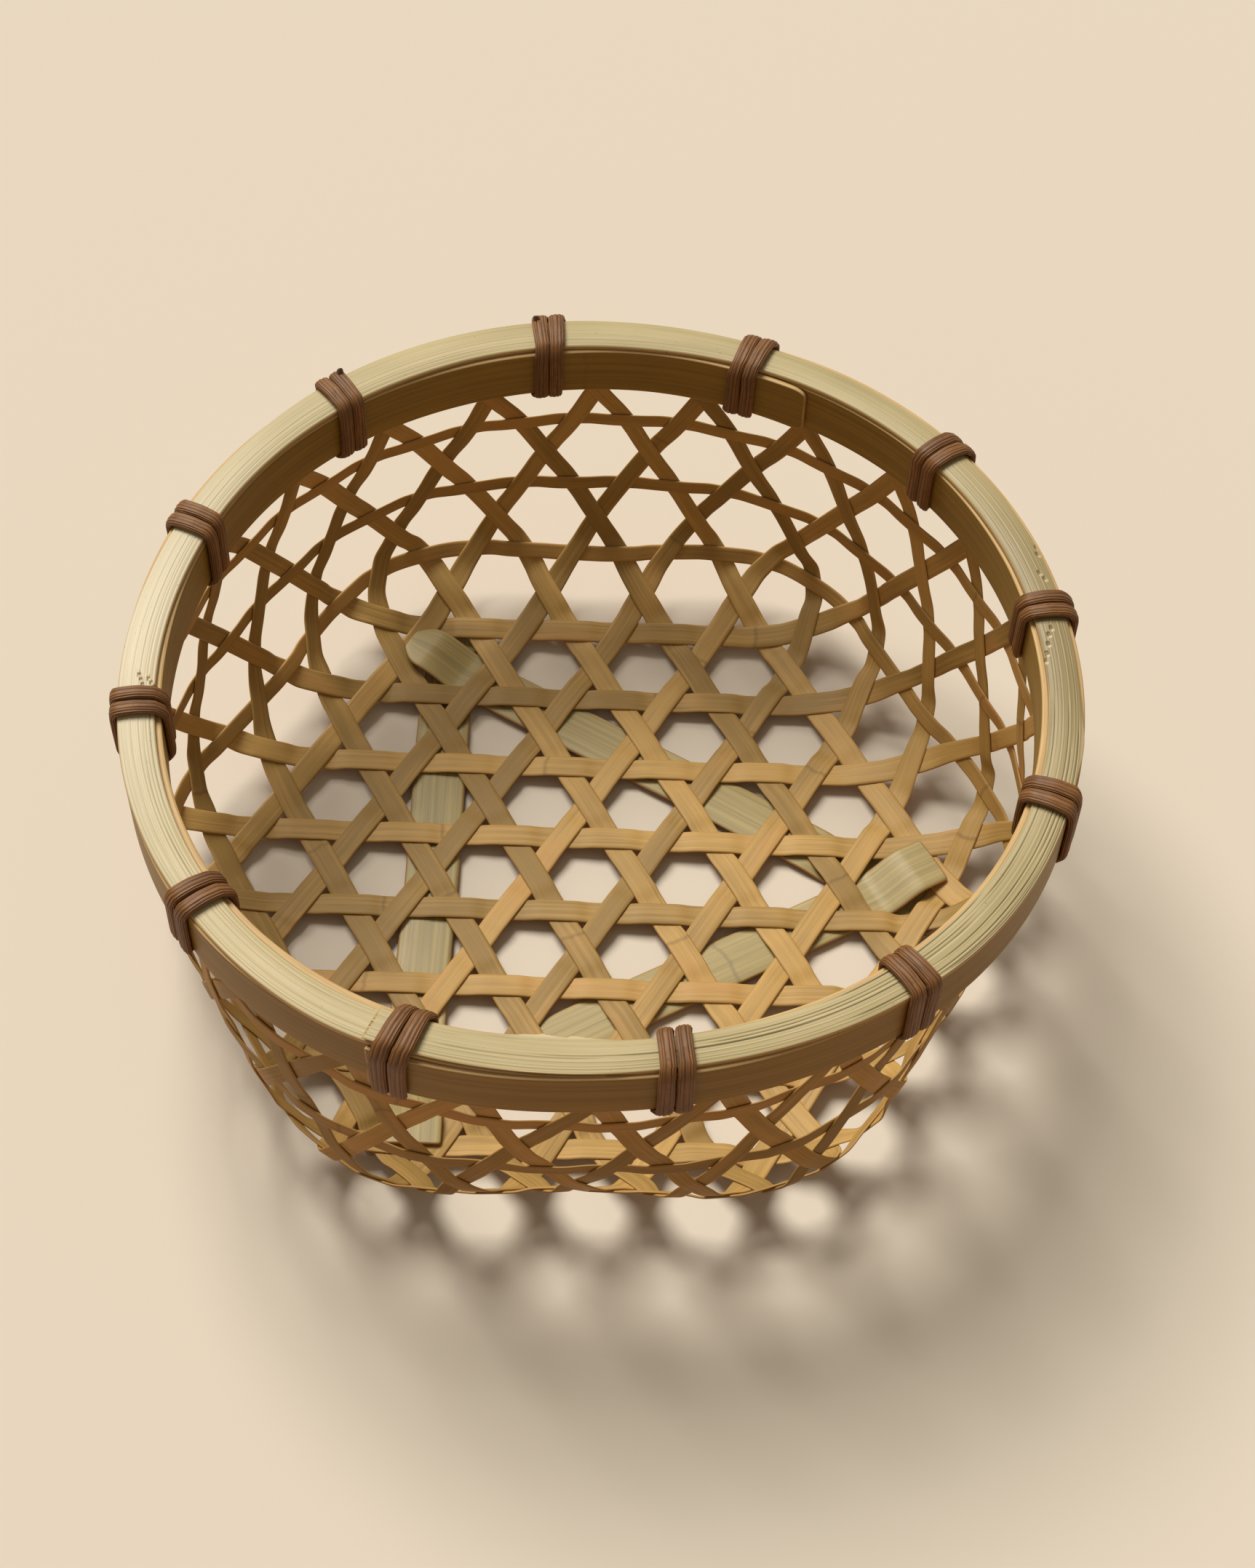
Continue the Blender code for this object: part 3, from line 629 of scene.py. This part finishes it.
def strip_material(fibres, name, olive, straw, warm, cut):
    made, n, shader, (fine, streaks, patches, joints) = bamboo_material(name, fibres)
    share = n.maths("ADD", n.band(streaks, 0.3, 0.7, -0.25, 0.25), n.field("tint"))
    share = n.maths("ADD", share, n.band(patches, 0.3, 0.7, -0.3, 0.3), clamp=True)
    colour = n.mix(share, olive, straw)
    colour = n.mix(n.band(patches, 0.56, 0.74, 0.0, 0.55), colour, warm)
    colour = n.dark_fibres(fine, 0.25, 0.75, 0.55, colour, 0.45)
    colour = n.mix(n.maths("MULTIPLY", joints, 0.35), colour, rgb(96, 70, 40))
    colour = n.masked(colour, "cut", 0.6, cut)
    height = n.maths("ADD", fine, n.maths("MULTIPLY", joints, 1.5))
    put(n, shader, colour, n.band(fine, 0.2, 0.8, 0.5, 0.62), height,
        strength=0.35, distance=0.00012, specular=0.4)
    return made


def brace_material(fibres):
    made, n, shader, (fine, streaks, patches, joints) = bamboo_material("brace_bamboo", fibres)
    tint = n.maths("MULTIPLY", n.field("tint"), 0.4)
    share = n.maths("ADD", n.band(streaks, 0.3, 0.7), tint, clamp=True)
    skin = n.mix(share, rgb(144, 130, 84), rgb(178, 160, 106))
    skin = n.mix(n.band(patches, 0.55, 0.75, 0.0, 0.5), skin, rgb(200, 182, 134))
    skin = n.mix(n.maths("MULTIPLY", joints, 0.5), skin, rgb(122, 110, 78))
    inside = n.mix(share, rgb(170, 140, 92), rgb(196, 168, 118))
    colour = n.mix(n.field("skin"), inside, skin)
    colour = n.mix(n.field("cut"), colour, rgb(176, 128, 74))
    colour = n.dark_fibres(fine, 0.2, 0.6, 0.35, colour, 0.5)
    put(n, shader, colour, n.band(fine, 0.2, 0.8, 0.4, 0.52), fine,
        strength=0.3, distance=0.0001)
    return made


def hoop_material(fibres):
    made, n, shader, (fine, streaks, patches, joints) = bamboo_material("hoop_bamboo", fibres)
    share = n.maths("ADD", n.band(streaks, 0.3, 0.7, 0.0, 0.7), n.band(patches, 0.3, 0.7, 0.0, 0.3))
    face = n.mix(share, rgb(134, 106, 46), rgb(164, 132, 64))
    face = n.mix(n.maths("MULTIPLY", joints, 0.18), face, rgb(104, 76, 40))
    edge = n.mix(n.band(fine, 0.3, 0.7), rgb(198, 162, 106), rgb(218, 188, 136))
    colour = n.mix(n.field("cut"), face, edge)
    colour = n.dark_fibres(fine, 0.2, 0.55, 0.35, colour, 0.55)
    put(n, shader, colour, n.band(fine, 0.2, 0.8, 0.4, 0.55), fine,
        strength=0.3, distance=0.0001, specular=0.3)
    return made


def cover_material(fibres):
    made, n, shader, (fine, streaks, patches, _) = bamboo_material("cover_bamboo", fibres)
    place = n.place()
    share = n.maths("ADD", n.band(streaks, 0.25, 0.75, 0.0, 0.6),
                    n.band(patches, 0.3, 0.7, 0.0, 0.4), clamp=True)
    colour = n.mix(share, rgb(166, 152, 106), rgb(202, 186, 140))
    warm = n.noise(place, 6, 0, detail=2)
    colour = n.mix(n.band(warm, 0.45, 0.7, 0.0, 0.45), colour, rgb(220, 200, 156))
    # Painted sheen: the stretch on the left, toward the window, is made paler; painted shade: the
    # stretch on the right is made darker
    colour = n.masked(colour, "pale", 0.65, rgb(230, 220, 194))
    colour = n.masked(colour, "painted_shade", 0.75, rgb(132, 116, 76))
    colour = n.masked(colour, "cut", 0.75, rgb(196, 160, 104))
    colour = n.dark_fibres(fine, 0.2, 0.5, 0.18, colour, 0.5)
    for field, low, high, most, mark in (("split", 0.1, 0.8, 0.9, rgb(50, 38, 22)),
                                         ("notch", 0.15, 0.7, 0.8, rgb(112, 94, 58)),
                                         ("torn", 0.1, 0.7, 0.7, rgb(222, 200, 156))):
        colour = n.mix(n.band(n.field(field), low, high, 0.0, most), colour, mark)
    speck = n.noise(place, 900, 1400, detail=1)
    colour = n.mix(n.band(speck, 0.73, 0.8, 0.0, 0.5), colour, rgb(70, 62, 40))
    put(n, shader, colour, n.band(fine, 0.2, 0.8, 0.38, 0.52), fine,
        strength=0.35, distance=0.00012)
    return made


def vine_material():
    made, n, shader = new_material("brown_vine")
    place = n.place()
    fine = n.noise(place, 160, 3600, detail=4, roughness=0.6)
    bark = n.noise(place, 420, 900, detail=3, roughness=0.6)
    blotch = n.noise(place, 60, 200, detail=3)
    colour = n.mix(n.band(fine, 0.25, 0.75), rgb(102, 64, 29), rgb(158, 108, 57))
    colour = n.mix(n.band(blotch, 0.45, 0.7, 0.0, 0.6), colour, rgb(96, 62, 34))
    colour = n.mix(n.band(bark, 0.58, 0.72, 0.0, 0.6), colour, rgb(60, 36, 20))
    # Painted shade: where the furrow field is high, between a lashing's ribs, the vine is darkened
    # nearly to black
    furrow = n.band(n.field("furrow"), 0.05, 0.7, 0.0, 0.85)
    colour = n.mix(furrow, colour, rgb(36, 22, 11))
    put(n, shader, colour, n.band(fine, 0.2, 0.8, 0.42, 0.6), n.maths("ADD", fine, bark),
        strength=0.5, distance=0.00012, specular=0.4)
    return made


# Braces

def taper(left, reach, narrowing, power=2):
    """Share of a strip's width where so much of its length is left."""
    return 1 - narrowing * np.clip(1 - left / reach, 0, 1) ** power


def with_ends(cut, u, reach=END_CUT):
    """The field of cut wood: a section's cut edges, and the whole section at both ends."""
    ends = (u < reach) | (u > u[-1] - reach)
    return np.maximum(cut[None], ends[:, None])


def make_braces(finish):
    """P = path(u) + a(t) w(u) sideways + (b(t) h + crown (1 - a^2)) normal, crowned on its skin."""
    hole = 6 * STEP * math.cos(math.pi / 6)
    low, high = -BRACE_DROP - BRACE_STACK, BRACE_DROP + EDGE_LIFT + CLEARANCE
    under_end, over_end = -hole - BRACE_UNDER_END, hole + BRACE_OVER_END
    tucked = -hole + BRACE_REACH * BRACE_WIDTH
    s = np.linspace(under_end, over_end, 420)
    z = low + BRACE_STACK * ease((s - tucked) / BRACE_SLOPE)
    z += (high + BRACE_DROP) * ease((s - hole) / BRACE_RISE + 0.5)
    slope = np.gradient(z, s)
    a, b = slab_section(15, 8)
    crown = BRACE_CROWN * (1 - a ** 2) * (b > 0)
    thick = b * (BRACE_THICKNESS - BRACE_THINNER) / 2 + crown - BRACE_LOWER
    for number, tint in enumerate((0.2, 0.7, 0.5)):
        turn = math.pi * (1 + 2 * number / 3)
        out = np.array([math.cos(turn), math.sin(turn), 0.0])
        along = np.array([-out[1], out[0], 0.0])
        if number == LEAF_BRACE:
            width = taper(over_end - s, LEAF_LENGTH, LEAF_NARROWING, 2.2)
        else:
            width = taper(over_end - s, SQUARE_LENGTH, SQUARE_NARROWING)
        width = width * taper(s - under_end, SQUARE_LENGTH, SQUARE_NARROWING)
        width = BRACE_WIDTH * width * (1 + 0.012 * waves(s, 300 + number, 3, 0.12))
        shift = BRACE_DRIFT * waves(s, 320 + number, 2, 0.15)
        centre = out * (3 * STEP + shift)[:, None] + along * s[:, None]
        centre[:, 2] = WEAVE_HEIGHT + z
        normal = unit(np.array([0, 0, 1.0]) - along * slope[:, None])
        grid = (centre[:, None] - out * (a[None, :, None] * width[:, None, None] / 2)
                + normal[:, None] * thick[None, :, None])
        uv = stacked(s[:, None] + BRACE_START + number * BRACE_SHIFT[0],
                     a[None] * BRACE_WIDTH / 2 + number * BRACE_SHIFT[1])
        cut = with_ends(np.abs(a) > 0.93, s - under_end, BRACE_END_CUT)
        fields = {"tint": tint, "cut": cut, "skin": b > 0}
        name = f"brace_{number + 1}"
        make_mesh("look_" + name, name, finish, grid, uv, fields)


# Rim

def lapped(into, thickness, tip, tail):
    """Levels of a bent strip's back and face at angles from its start, as the CAD laps them."""
    def wedge(past):
        return thickness - (thickness - tail) * np.clip(past / LAP, 0, 1)

    step = ease((into - LAP) / LAP_STEP)
    back = np.where(into < LAP, wedge(into) + CLEARANCE, (tail + CLEARANCE) * (1 - step))
    on_top = thickness + (tip + CLEARANCE) * (1 - ease(into / LAP))
    return back, np.where(into > TURN, wedge(into - TURN), on_top)


def make_hoop(name, lap_start, back_radius, thickness, round_tip, finish, seed):
    """P = (r, z) swept round: r = back + sense d(t), z = bottom + h(t), both slowly varying."""
    sense = math.copysign(1, thickness)
    into = np.linspace(0, TURN + LAP, 1500)
    back, face = lapped(into, abs(thickness), HOOP_TIP, HOOP_TAIL)
    u = into * back_radius
    t = np.linspace(0, math.pi / 2, 9)
    corner = 1 - 0.16 * (1 - np.sin(t))
    depth = np.concatenate([[0.0, 0.35, 0.7], corner, np.ones(8), corner[::-1], [0.7, 0.35, 0.0]])
    low = HOOP_ROUNDING * (1 - np.cos(t))
    straight = np.linspace(HOOP_ROUNDING, HOOP_HEIGHT - HOOP_ROUNDING, 10)[1:-1]
    height = np.concatenate([[0.0] * 3, low, straight, HOOP_HEIGHT - low[::-1], [HOOP_HEIGHT] * 3])
    tip = np.ones(len(u))
    if round_tip:
        left = 1 - np.clip(u / HOOP_TIP_LENGTH, 0, 1)
        tip = HOOP_TIP_SHARE + (1 - HOOP_TIP_SHARE) * np.sqrt(1 - left ** 2)
    height = (height[None] - HOOP_HEIGHT / 2) * tip[:, None] + HOOP_HEIGHT / 2
    face = face - INSET + HOOP_WAVER * waves(u, seed, 4, 0.2)
    span = np.maximum(face - back, HOOP_LEAST)
    radius = back_radius + sense * (back[:, None] + span[:, None] * depth[None])
    top_wave = HOOP_WAVER * waves(u, seed + 1, 4, 0.17)
    z = HOOP_BOTTOM + height + top_wave[:, None] * (height > HOOP_HEIGHT / 2) - INSET
    grid = ring_points((lap_start + into)[:, None], radius, z)
    around = lengths(np.column_stack([depth * HOOP_THICKNESS, height[len(u) // 2]]))
    cut = depth < 0.985
    cut[[0, -1]] = False
    make_mesh("look_" + name, name, finish, grid,
              stacked(u[:, None] + seed, around[None]), {"cut": with_ends(cut, u)})


def cover_edges(angle):
    """Radii of the cover's edges: a cubic through the four nearest of the CAD's shares."""
    place = angle / TURN * len(COVER_INNER)
    first = np.floor(place).astype(int)
    near = [(first + step) % len(COVER_INNER) for step in (-1, 0, 1, 2)]
    weights = cubic_weights(place - first)
    return [RIM_RADIUS * sum(w * np.array(shares)[n] for w, n in zip(weights, near))
            for shares in (COVER_INNER, COVER_OUTER)]


def cover_angles():
    """Angles from the cover's start, more closely spaced by the notches."""
    fine = np.linspace(0, TURN + LAP, 6000)
    turned = np.degrees(COVER_LAP + fine) % 360
    rows = np.cumsum(1 + 2.5 * ((turned < 22) | (np.abs(turned - 183) < 3)))
    return np.interp(np.linspace(rows[0], rows[-1], 1230), rows, fine)


def cover_splits(u, degrees, x):
    """Splits: the greatest of deep_k(u) exp(-((x - x_k(u)) / w_k)^2), the long open ones first."""
    rng = np.random.default_rng(77)
    splits = np.zeros((len(u), len(x)))
    for k in range(SPLITS):
        long = k < LONG_SPLITS
        where = rng.uniform(-0.93, 0.93) * COVER_HALF
        middle, reach = rng.uniform(-172, 2), rng.uniform(5, 14)
        if long:
            where = np.linspace(-0.8, 0.85, LONG_SPLITS)[k] * COVER_HALF
            middle, reach = rng.uniform(-72, -6), rng.uniform(9, 24)
        drift = where + SPLIT_DRIFT * waves(u, 400 + k, 3, 0.25)
        window = ease((reach - np.abs(degrees_off(degrees, middle))) / 5)
        width = rng.uniform(*SPLIT_WIDTHS) * (LONG_SPLIT_WIDER if long else 1.0)
        deep = window * (rng.uniform(0.7, 1.0) if long else rng.uniform(0.25, 0.7))
        splits = np.maximum(splits, deep[:, None] * bell(x[None] - drift[:, None], width))
    return splits


def cover_notches(turned, radius):
    """The small notches at the cover's joints, and the scuffed wood beside each."""
    notch, scuff = np.zeros_like(radius), np.zeros_like(radius)
    for at, reach in NOTCHES:
        along, across = np.radians(degrees_off(turned, at)) * reach, radius - reach
        notch += patch(along, across, NOTCH_LENGTH, NOTCH_WIDTH)
        scuff += patch(along + SCUFF_ALONG, across - SCUFF_ACROSS, SCUFF_SIZE, SCUFF_SIZE)
    return notch, scuff


def make_cover(finish):
    """The cover's top is z = face - crown a^2 + ridges - rounding - splits - notches, with fibre
    torn off its inner edge at one place and a sliver standing off its outer edge at another."""
    into = cover_angles()
    back, face = lapped(into, COVER_THICKNESS, COVER_TIP, COVER_TAIL)
    crown = np.minimum(COVER_CROWN, (face - back) / 2)[:, None]
    back, face = back[:, None], face[:, None]
    angle, u = COVER_LAP + into, into * COVER_RADIUS
    degrees = np.degrees(angle)
    turned = degrees[:, None] % 360
    share, under = np.linspace(-1, 1, 71), np.linspace(1, -1, 9)
    splits = cover_splits(u, degrees, share * COVER_HALF)
    ridges = RIDGE_HEIGHT * sum(np.cos(share * f + p) for f, p in RIDGES)
    near_edge = np.clip((np.abs(share) - 0.9) / 0.1, 0, 1)
    rounding = COVER_ROUNDING * (1 - np.sqrt(1 - near_edge ** 2))
    top = face - crown * share ** 2 - rounding + ridges - INSET - SPLIT_DEPTH * splits
    top = np.maximum(top, back + COVER_LEAST)

    inner, outer = cover_edges(angle)
    middle = ((inner + outer) / 2)[:, None]
    half = ((outer - inner) * (1 + 0.012 * waves(u, 90, 4, 0.16)) / 2)[:, None]
    ragged = 0.75 + 0.35 * waves(u, 95, 6, 0.02)[:, None]
    fray = ragged * bell(turned - FRAY_AT, FRAY_REACH) * (share < -0.9)
    sliver = bell(turned - SLIVER_AT, SLIVER_REACH) * (share > 0.93)
    radius = middle + share * half - FRAY_IN * fray + SLIVER_OUT * sliver
    top = top - FRAY_DOWN * fray - SLIVER_DOWN * sliver
    notch, scuff = cover_notches(turned, radius)
    top = top - NOTCH_DEPTH * np.minimum(notch, 1) + SCUFF_HEIGHT * scuff
    top = np.maximum(top, back + COVER_LEAST)

    below = np.broadcast_to(back, (len(u), len(under)))
    radius = np.concatenate([radius, middle + under * half], 1)
    z = HOOP_TOP + COVER_LIFT + np.concatenate([top, below], 1)
    v = np.concatenate([share, under]) * COVER_HALF
    cut = np.concatenate([np.abs(share) > 0.955, np.ones(len(under), bool)])
    fields = {"cut": with_ends(cut, u),
              # Painted sheen on the left and painted shade on the right, as shares along the cover
              "pale": bell(degrees_off(turned, PAINTED_SHEEN_AT), PAINTED_SHEEN_REACH),
              "painted_shade": bell(degrees_off(turned, PAINTED_SHADE_AT), PAINTED_SHADE_REACH)}
    for field, mark in (("split", splits), ("notch", notch), ("torn", scuff + fray + sliver)):
        fields[field] = np.concatenate([mark, np.zeros_like(below)], 1)
    make_mesh("look_rim_cover", "rim_cover", finish,
              ring_points(angle[:, None], radius, z),
              stacked(u[:, None] + COVER_START, v[None]), fields)


# Lashings

def stands_out(lap_start, angle, tip):
    """How far a lap's outer end lifts the vine at an angle."""
    reach = LASHING_REACH / SLOT_RADIUS
    into = math.fmod(angle - lap_start + 2 * TURN, TURN)
    if into > LAP + reach:
        return 0.0
    return (tip + CLEARANCE) * (1 - float(ease((into - reach) / LAP)))


def vine_turn(angle):
    """Corners of the rim's section at an angle, as rows of radius, height and the direction in
    degrees in which the vine's centre stands off the corner."""
    inner = INNER_FACE - stands_out(INNER_LAP, angle, HOOP_TIP)
    outer = RIM_RADIUS + stands_out(OUTER_LAP, angle, HOOP_TIP)
    edge = HOOP_TOP + CLEARANCE + COVER_EDGE_THICKNESS + stands_out(COVER_LAP, angle, COVER_TIP)
    cover_in, cover_out = (float(edges) for edges in cover_edges(np.array(angle)))
    corners = ((SLOT_RADIUS, HOOP_BOTTOM, (-90,)),
               (outer, HOOP_BOTTOM, (-90, -67, -45, -22, 0)),
               (max(outer, cover_out), HOOP_TOP, (5, 30)),
               (cover_out, edge, (50, 72)),
               ((cover_in + cover_out) / 2, edge + COVER_CROWN, (90,)),
               (cover_in, edge, (108, 130)),
               (min(inner, cover_in), HOOP_TOP, (150, 175)),
               (inner, HOOP_BOTTOM, (180, 202, 225, 247, 270)))
    return [(radius, height, away) for radius, height, aways in corners for away in aways]


def vine_track(angle):
    """Length, share of a turn, centre, outward direction and thickness along a lashing's vine."""
    turn = vine_turn(angle)
    rows = np.array(turn * VINE_TURNS + turn[:1], float)
    away = np.radians(rows[:, 2])
    thick = VINE_THICKNESS * (1 - VINE_PINCH * np.maximum(0, -np.sin(away)))
    stand_off = (VINE_GAP + thick / 2)[:, None]
    path = rows[:, :2] + stand_off * np.column_stack([np.cos(away), np.sin(away)])
    s = lengths(path)
    u = np.linspace(0, s[-1], 300)
    share = np.interp(u, s, np.arange(len(s)) / len(turn))
    track = np.column_stack([np.interp(u, s, column) for column in path.T])
    track = smoothed(track, 2.2, 6)
    ahead = unit(np.gradient(track, axis=0))
    return u, share, track, np.column_stack([ahead[:, 1], -ahead[:, 0]]), np.interp(u, s, thick)


def make_lashings(finish):
    """P = track(u) + b(t) (T/2 + rib) out + a(t) (W/2 + rib) along, with a and b the cosine and
    sine of t to the power 0.8, and the vine moving one spacing along the rim in each turn."""
    t = np.linspace(0, TURN, 97)[None, :-1] + 0.001
    a, b = (np.sign(part) * np.abs(part) ** 0.8 for part in (np.cos(t), np.sin(t)))
    for number, lashing_shift in enumerate(LASHING_SHIFTS):
        rng = np.random.default_rng(900 + number)
        middle = FIRST_LASHING + (number + lashing_shift) * math.pi / 6
        u, share, track, out, thick = vine_track(middle)
        spacing = TURN_SPACING * (1 + 0.04 * rng.uniform(-1, 1))
        shift = spacing * (share - 1) + VINE_DRIFT * waves(u, 910 + number, 3, 0.05)
        width = 1 + 0.05 * waves(u, 940 + number, 3, 0.06)
        width = VINE_WIDTH * width * rng.uniform(0.93, 1.0)
        wander = 0.5 * waves(u, 950 + number, 3, 0.07)[:, None]
        ridge = np.abs(np.sin(6.5 * t + wander + rng.uniform(0, 3))) ** 0.7
        ridge = ridge + 0.35 * np.abs(np.sin(11 * t - 1.7 * wander + rng.uniform(0, 3))) ** 0.7
        swell = 1 + 0.05 * waves(u, 970 + number, 3, 0.05)
        rib = VINE_RIB * (ridge - 1)
        along = shift[:, None] + a * (width[:, None] / 2 + rib)
        deep = b * ((thick / 2 * swell)[:, None] + rib)
        radius, z = (track[:, k:k + 1] + out[:, k:k + 1] * deep for k in (0, 1))
        grid = ring_points(middle + along / SLOT_RADIUS, radius, z)
        uv = stacked(u[:, None] + number * VINE_SHIFT, t * VINE_ROUND)
        name = f"lashing_{number + 1:02d}"
        # The furrow field marks the painted shade between the vine's ribs
        make_mesh("look_" + name, name, finish, grid, uv,
                  {"furrow": np.clip(1 - ridge / 1.1, 0, 1)})


def make_vine_ends(finish):
    """Cut ends of vines, standing up at the rim's outer edge: P = base + s up + R(s, t) round,
    with R = girth (1 - 0.97 s^8)^(1/2) (1 + 0.12 cos(3t + 4s))."""
    s, t = np.linspace(0, 1, 26)[:, None], np.linspace(0, TURN, 25)[None, :-1]
    for number, (lashing, at, lean) in enumerate(VINE_ENDS):
        girth = VINE_END_GIRTH * np.sqrt(1 - 0.97 * s ** 8) * (1 + 0.12 * np.cos(3 * t + 4 * s))
        angle = math.radians(at) + lean * s + girth * np.cos(t) / RIM_RADIUS
        radius = RIM_RADIUS - 0.0012 + 0.0006 * s + 0.7 * girth * np.sin(t)
        grid = ring_points(angle, radius, HOOP_TOP + 0.0008 + VINE_END_HEIGHT * s)
        uv = stacked(0.004 * s + VINE_END_START + number, VINE_ROUND * t)
        make_mesh(f"look_vine_end_{number + 1}", f"lashing_{lashing:02d}", finish,
                  grid, uv, {"furrow": ease((s - 0.85) / 0.1) * 0.7 + 0.2})


# Studio

def stand(thing, right, up, back, place=(0, 0, 0)):
    """Turns a lamp or camera, which looks away from back, and puts it in its place."""
    matrix = Matrix(np.column_stack([right, up, back]).tolist()).to_4x4()
    matrix.translation = place
    thing.matrix_world = matrix


def seen_directly(n):
    """1 for the rays that show a surface or its mirror image, 0 for those that carry its light."""
    path = n.add("ShaderNodeLightPath").outputs
    seen = n.maths("MAXIMUM", path["Is Camera Ray"], path["Is Glossy Ray"])
    return n.maths("MAXIMUM", seen, path["Is Transmission Ray"])


def make_studio():
    """A pale floor that sends back warm light, a dim warm room, and a window behind at the left."""
    mesh = bpy.data.meshes.new("floor")
    mesh.from_pydata([(-9, -9, 0), (9, -9, 0), (9, 9, 0), (-9, 9, 0)], [], [(0, 1, 2, 3)])
    floor = add_object("floor", mesh)
    finish, n, shader = new_material("pale_floor")
    seen = n.mix(seen_directly(n), rgb(170, 114, 54), rgb(228, 218, 204))
    n.fill(shader.inputs["Base Color"], seen)
    n.fill(shader.inputs["Roughness"], 0.9)
    mesh.materials.append(finish)
    world = bpy.data.worlds.new("soft_world")
    bpy.context.scene.world = world
    world.use_nodes = True
    n = Nodes(world.node_tree)
    room = [0.21 * part for part in (1.0, 0.87, 0.66)] + [1.0]
    light = n.mix(seen_directly(n), room, rgb(214, 202, 184))
    n.fill(world.node_tree.nodes["Background"].inputs[0], light)
    window = bpy.data.lights.new("window", "SUN")
    window.energy = 3.15
    window.angle = math.radians(33)
    window.color = (1.0, 0.95, 0.86)
    toward = unit(np.array(TOWARD_WINDOW))
    side = unit(np.cross([0, 0, 1.0], toward))
    stand(add_object("window", window), side, np.cross(toward, side), toward)


def make_camera():
    camera = bpy.data.cameras.new("camera")
    camera.sensor_fit, camera.sensor_width = "HORIZONTAL", SENSOR_WIDTH
    camera.lens = LENS
    camera.clip_start, camera.clip_end = 0.05, 20
    back = unit(np.array(CAMERA_BACK))
    up = unit(np.cross(back, unit(np.array(CAMERA_RIGHT))))
    holder = add_object("camera", camera)
    stand(holder, np.cross(up, back), up, back, CAMERA_PLACE)
    bpy.context.scene.camera = holder


def weave_paths():
    """Name, path and closure of the 24 strips that cross the bottom and the three level strips."""
    paths = []
    for way in range(3):
        for number in range(STRIPS_A_WAY):
            offset = (number - (STRIPS_A_WAY - 1) / 2) * PITCH
            path = wall_path(way, offset, -1)[::-1] + bottom_path(way, offset)
            name = f"strip_{'abc'[way]}{number + 1}"
            paths.append((name, path + wall_path(way, offset, 1), False))
    return paths + [(f"level_strip_{ring + 1}", ring_path(ring), True) for ring in range(3)]


def build():
    make_camera()
    fibres = fibre_group()
    strip = strip_material(fibres, "split_bamboo", rgb(162, 130, 70), rgb(210, 170, 100),
                           rgb(210, 158, 94), rgb(190, 148, 84))
    level = strip_material(fibres, "level_bamboo", rgb(154, 122, 64), rgb(198, 156, 88),
                           rgb(200, 148, 84), rgb(182, 140, 78))
    paths = weave_paths()
    shared = shared_normals([(path, closed) for _, path, closed in paths])
    for number, (name, path, closed) in enumerate(paths):
        finish, slot = (level, "level_bamboo") if closed else (strip, "split_bamboo")
        strip_piece(name, path, closed, shared, number, finish)
    make_braces(brace_material(fibres))
    hoop = hoop_material(fibres)
    make_hoop("inner_hoop", INNER_LAP, SLOT_RADIUS - SLOT_HALF, -INNER_HOOP_THICKNESS, True,
              hoop, 31)
    make_hoop("outer_hoop", OUTER_LAP, SLOT_RADIUS + SLOT_HALF, HOOP_THICKNESS, False, hoop, 33)
    make_cover(cover_material(fibres))
    vine = vine_material()
    make_lashings(vine)
    make_vine_ends(vine)
    make_studio()
    bpy.context.scene.view_settings.view_transform = "Standard"


build()
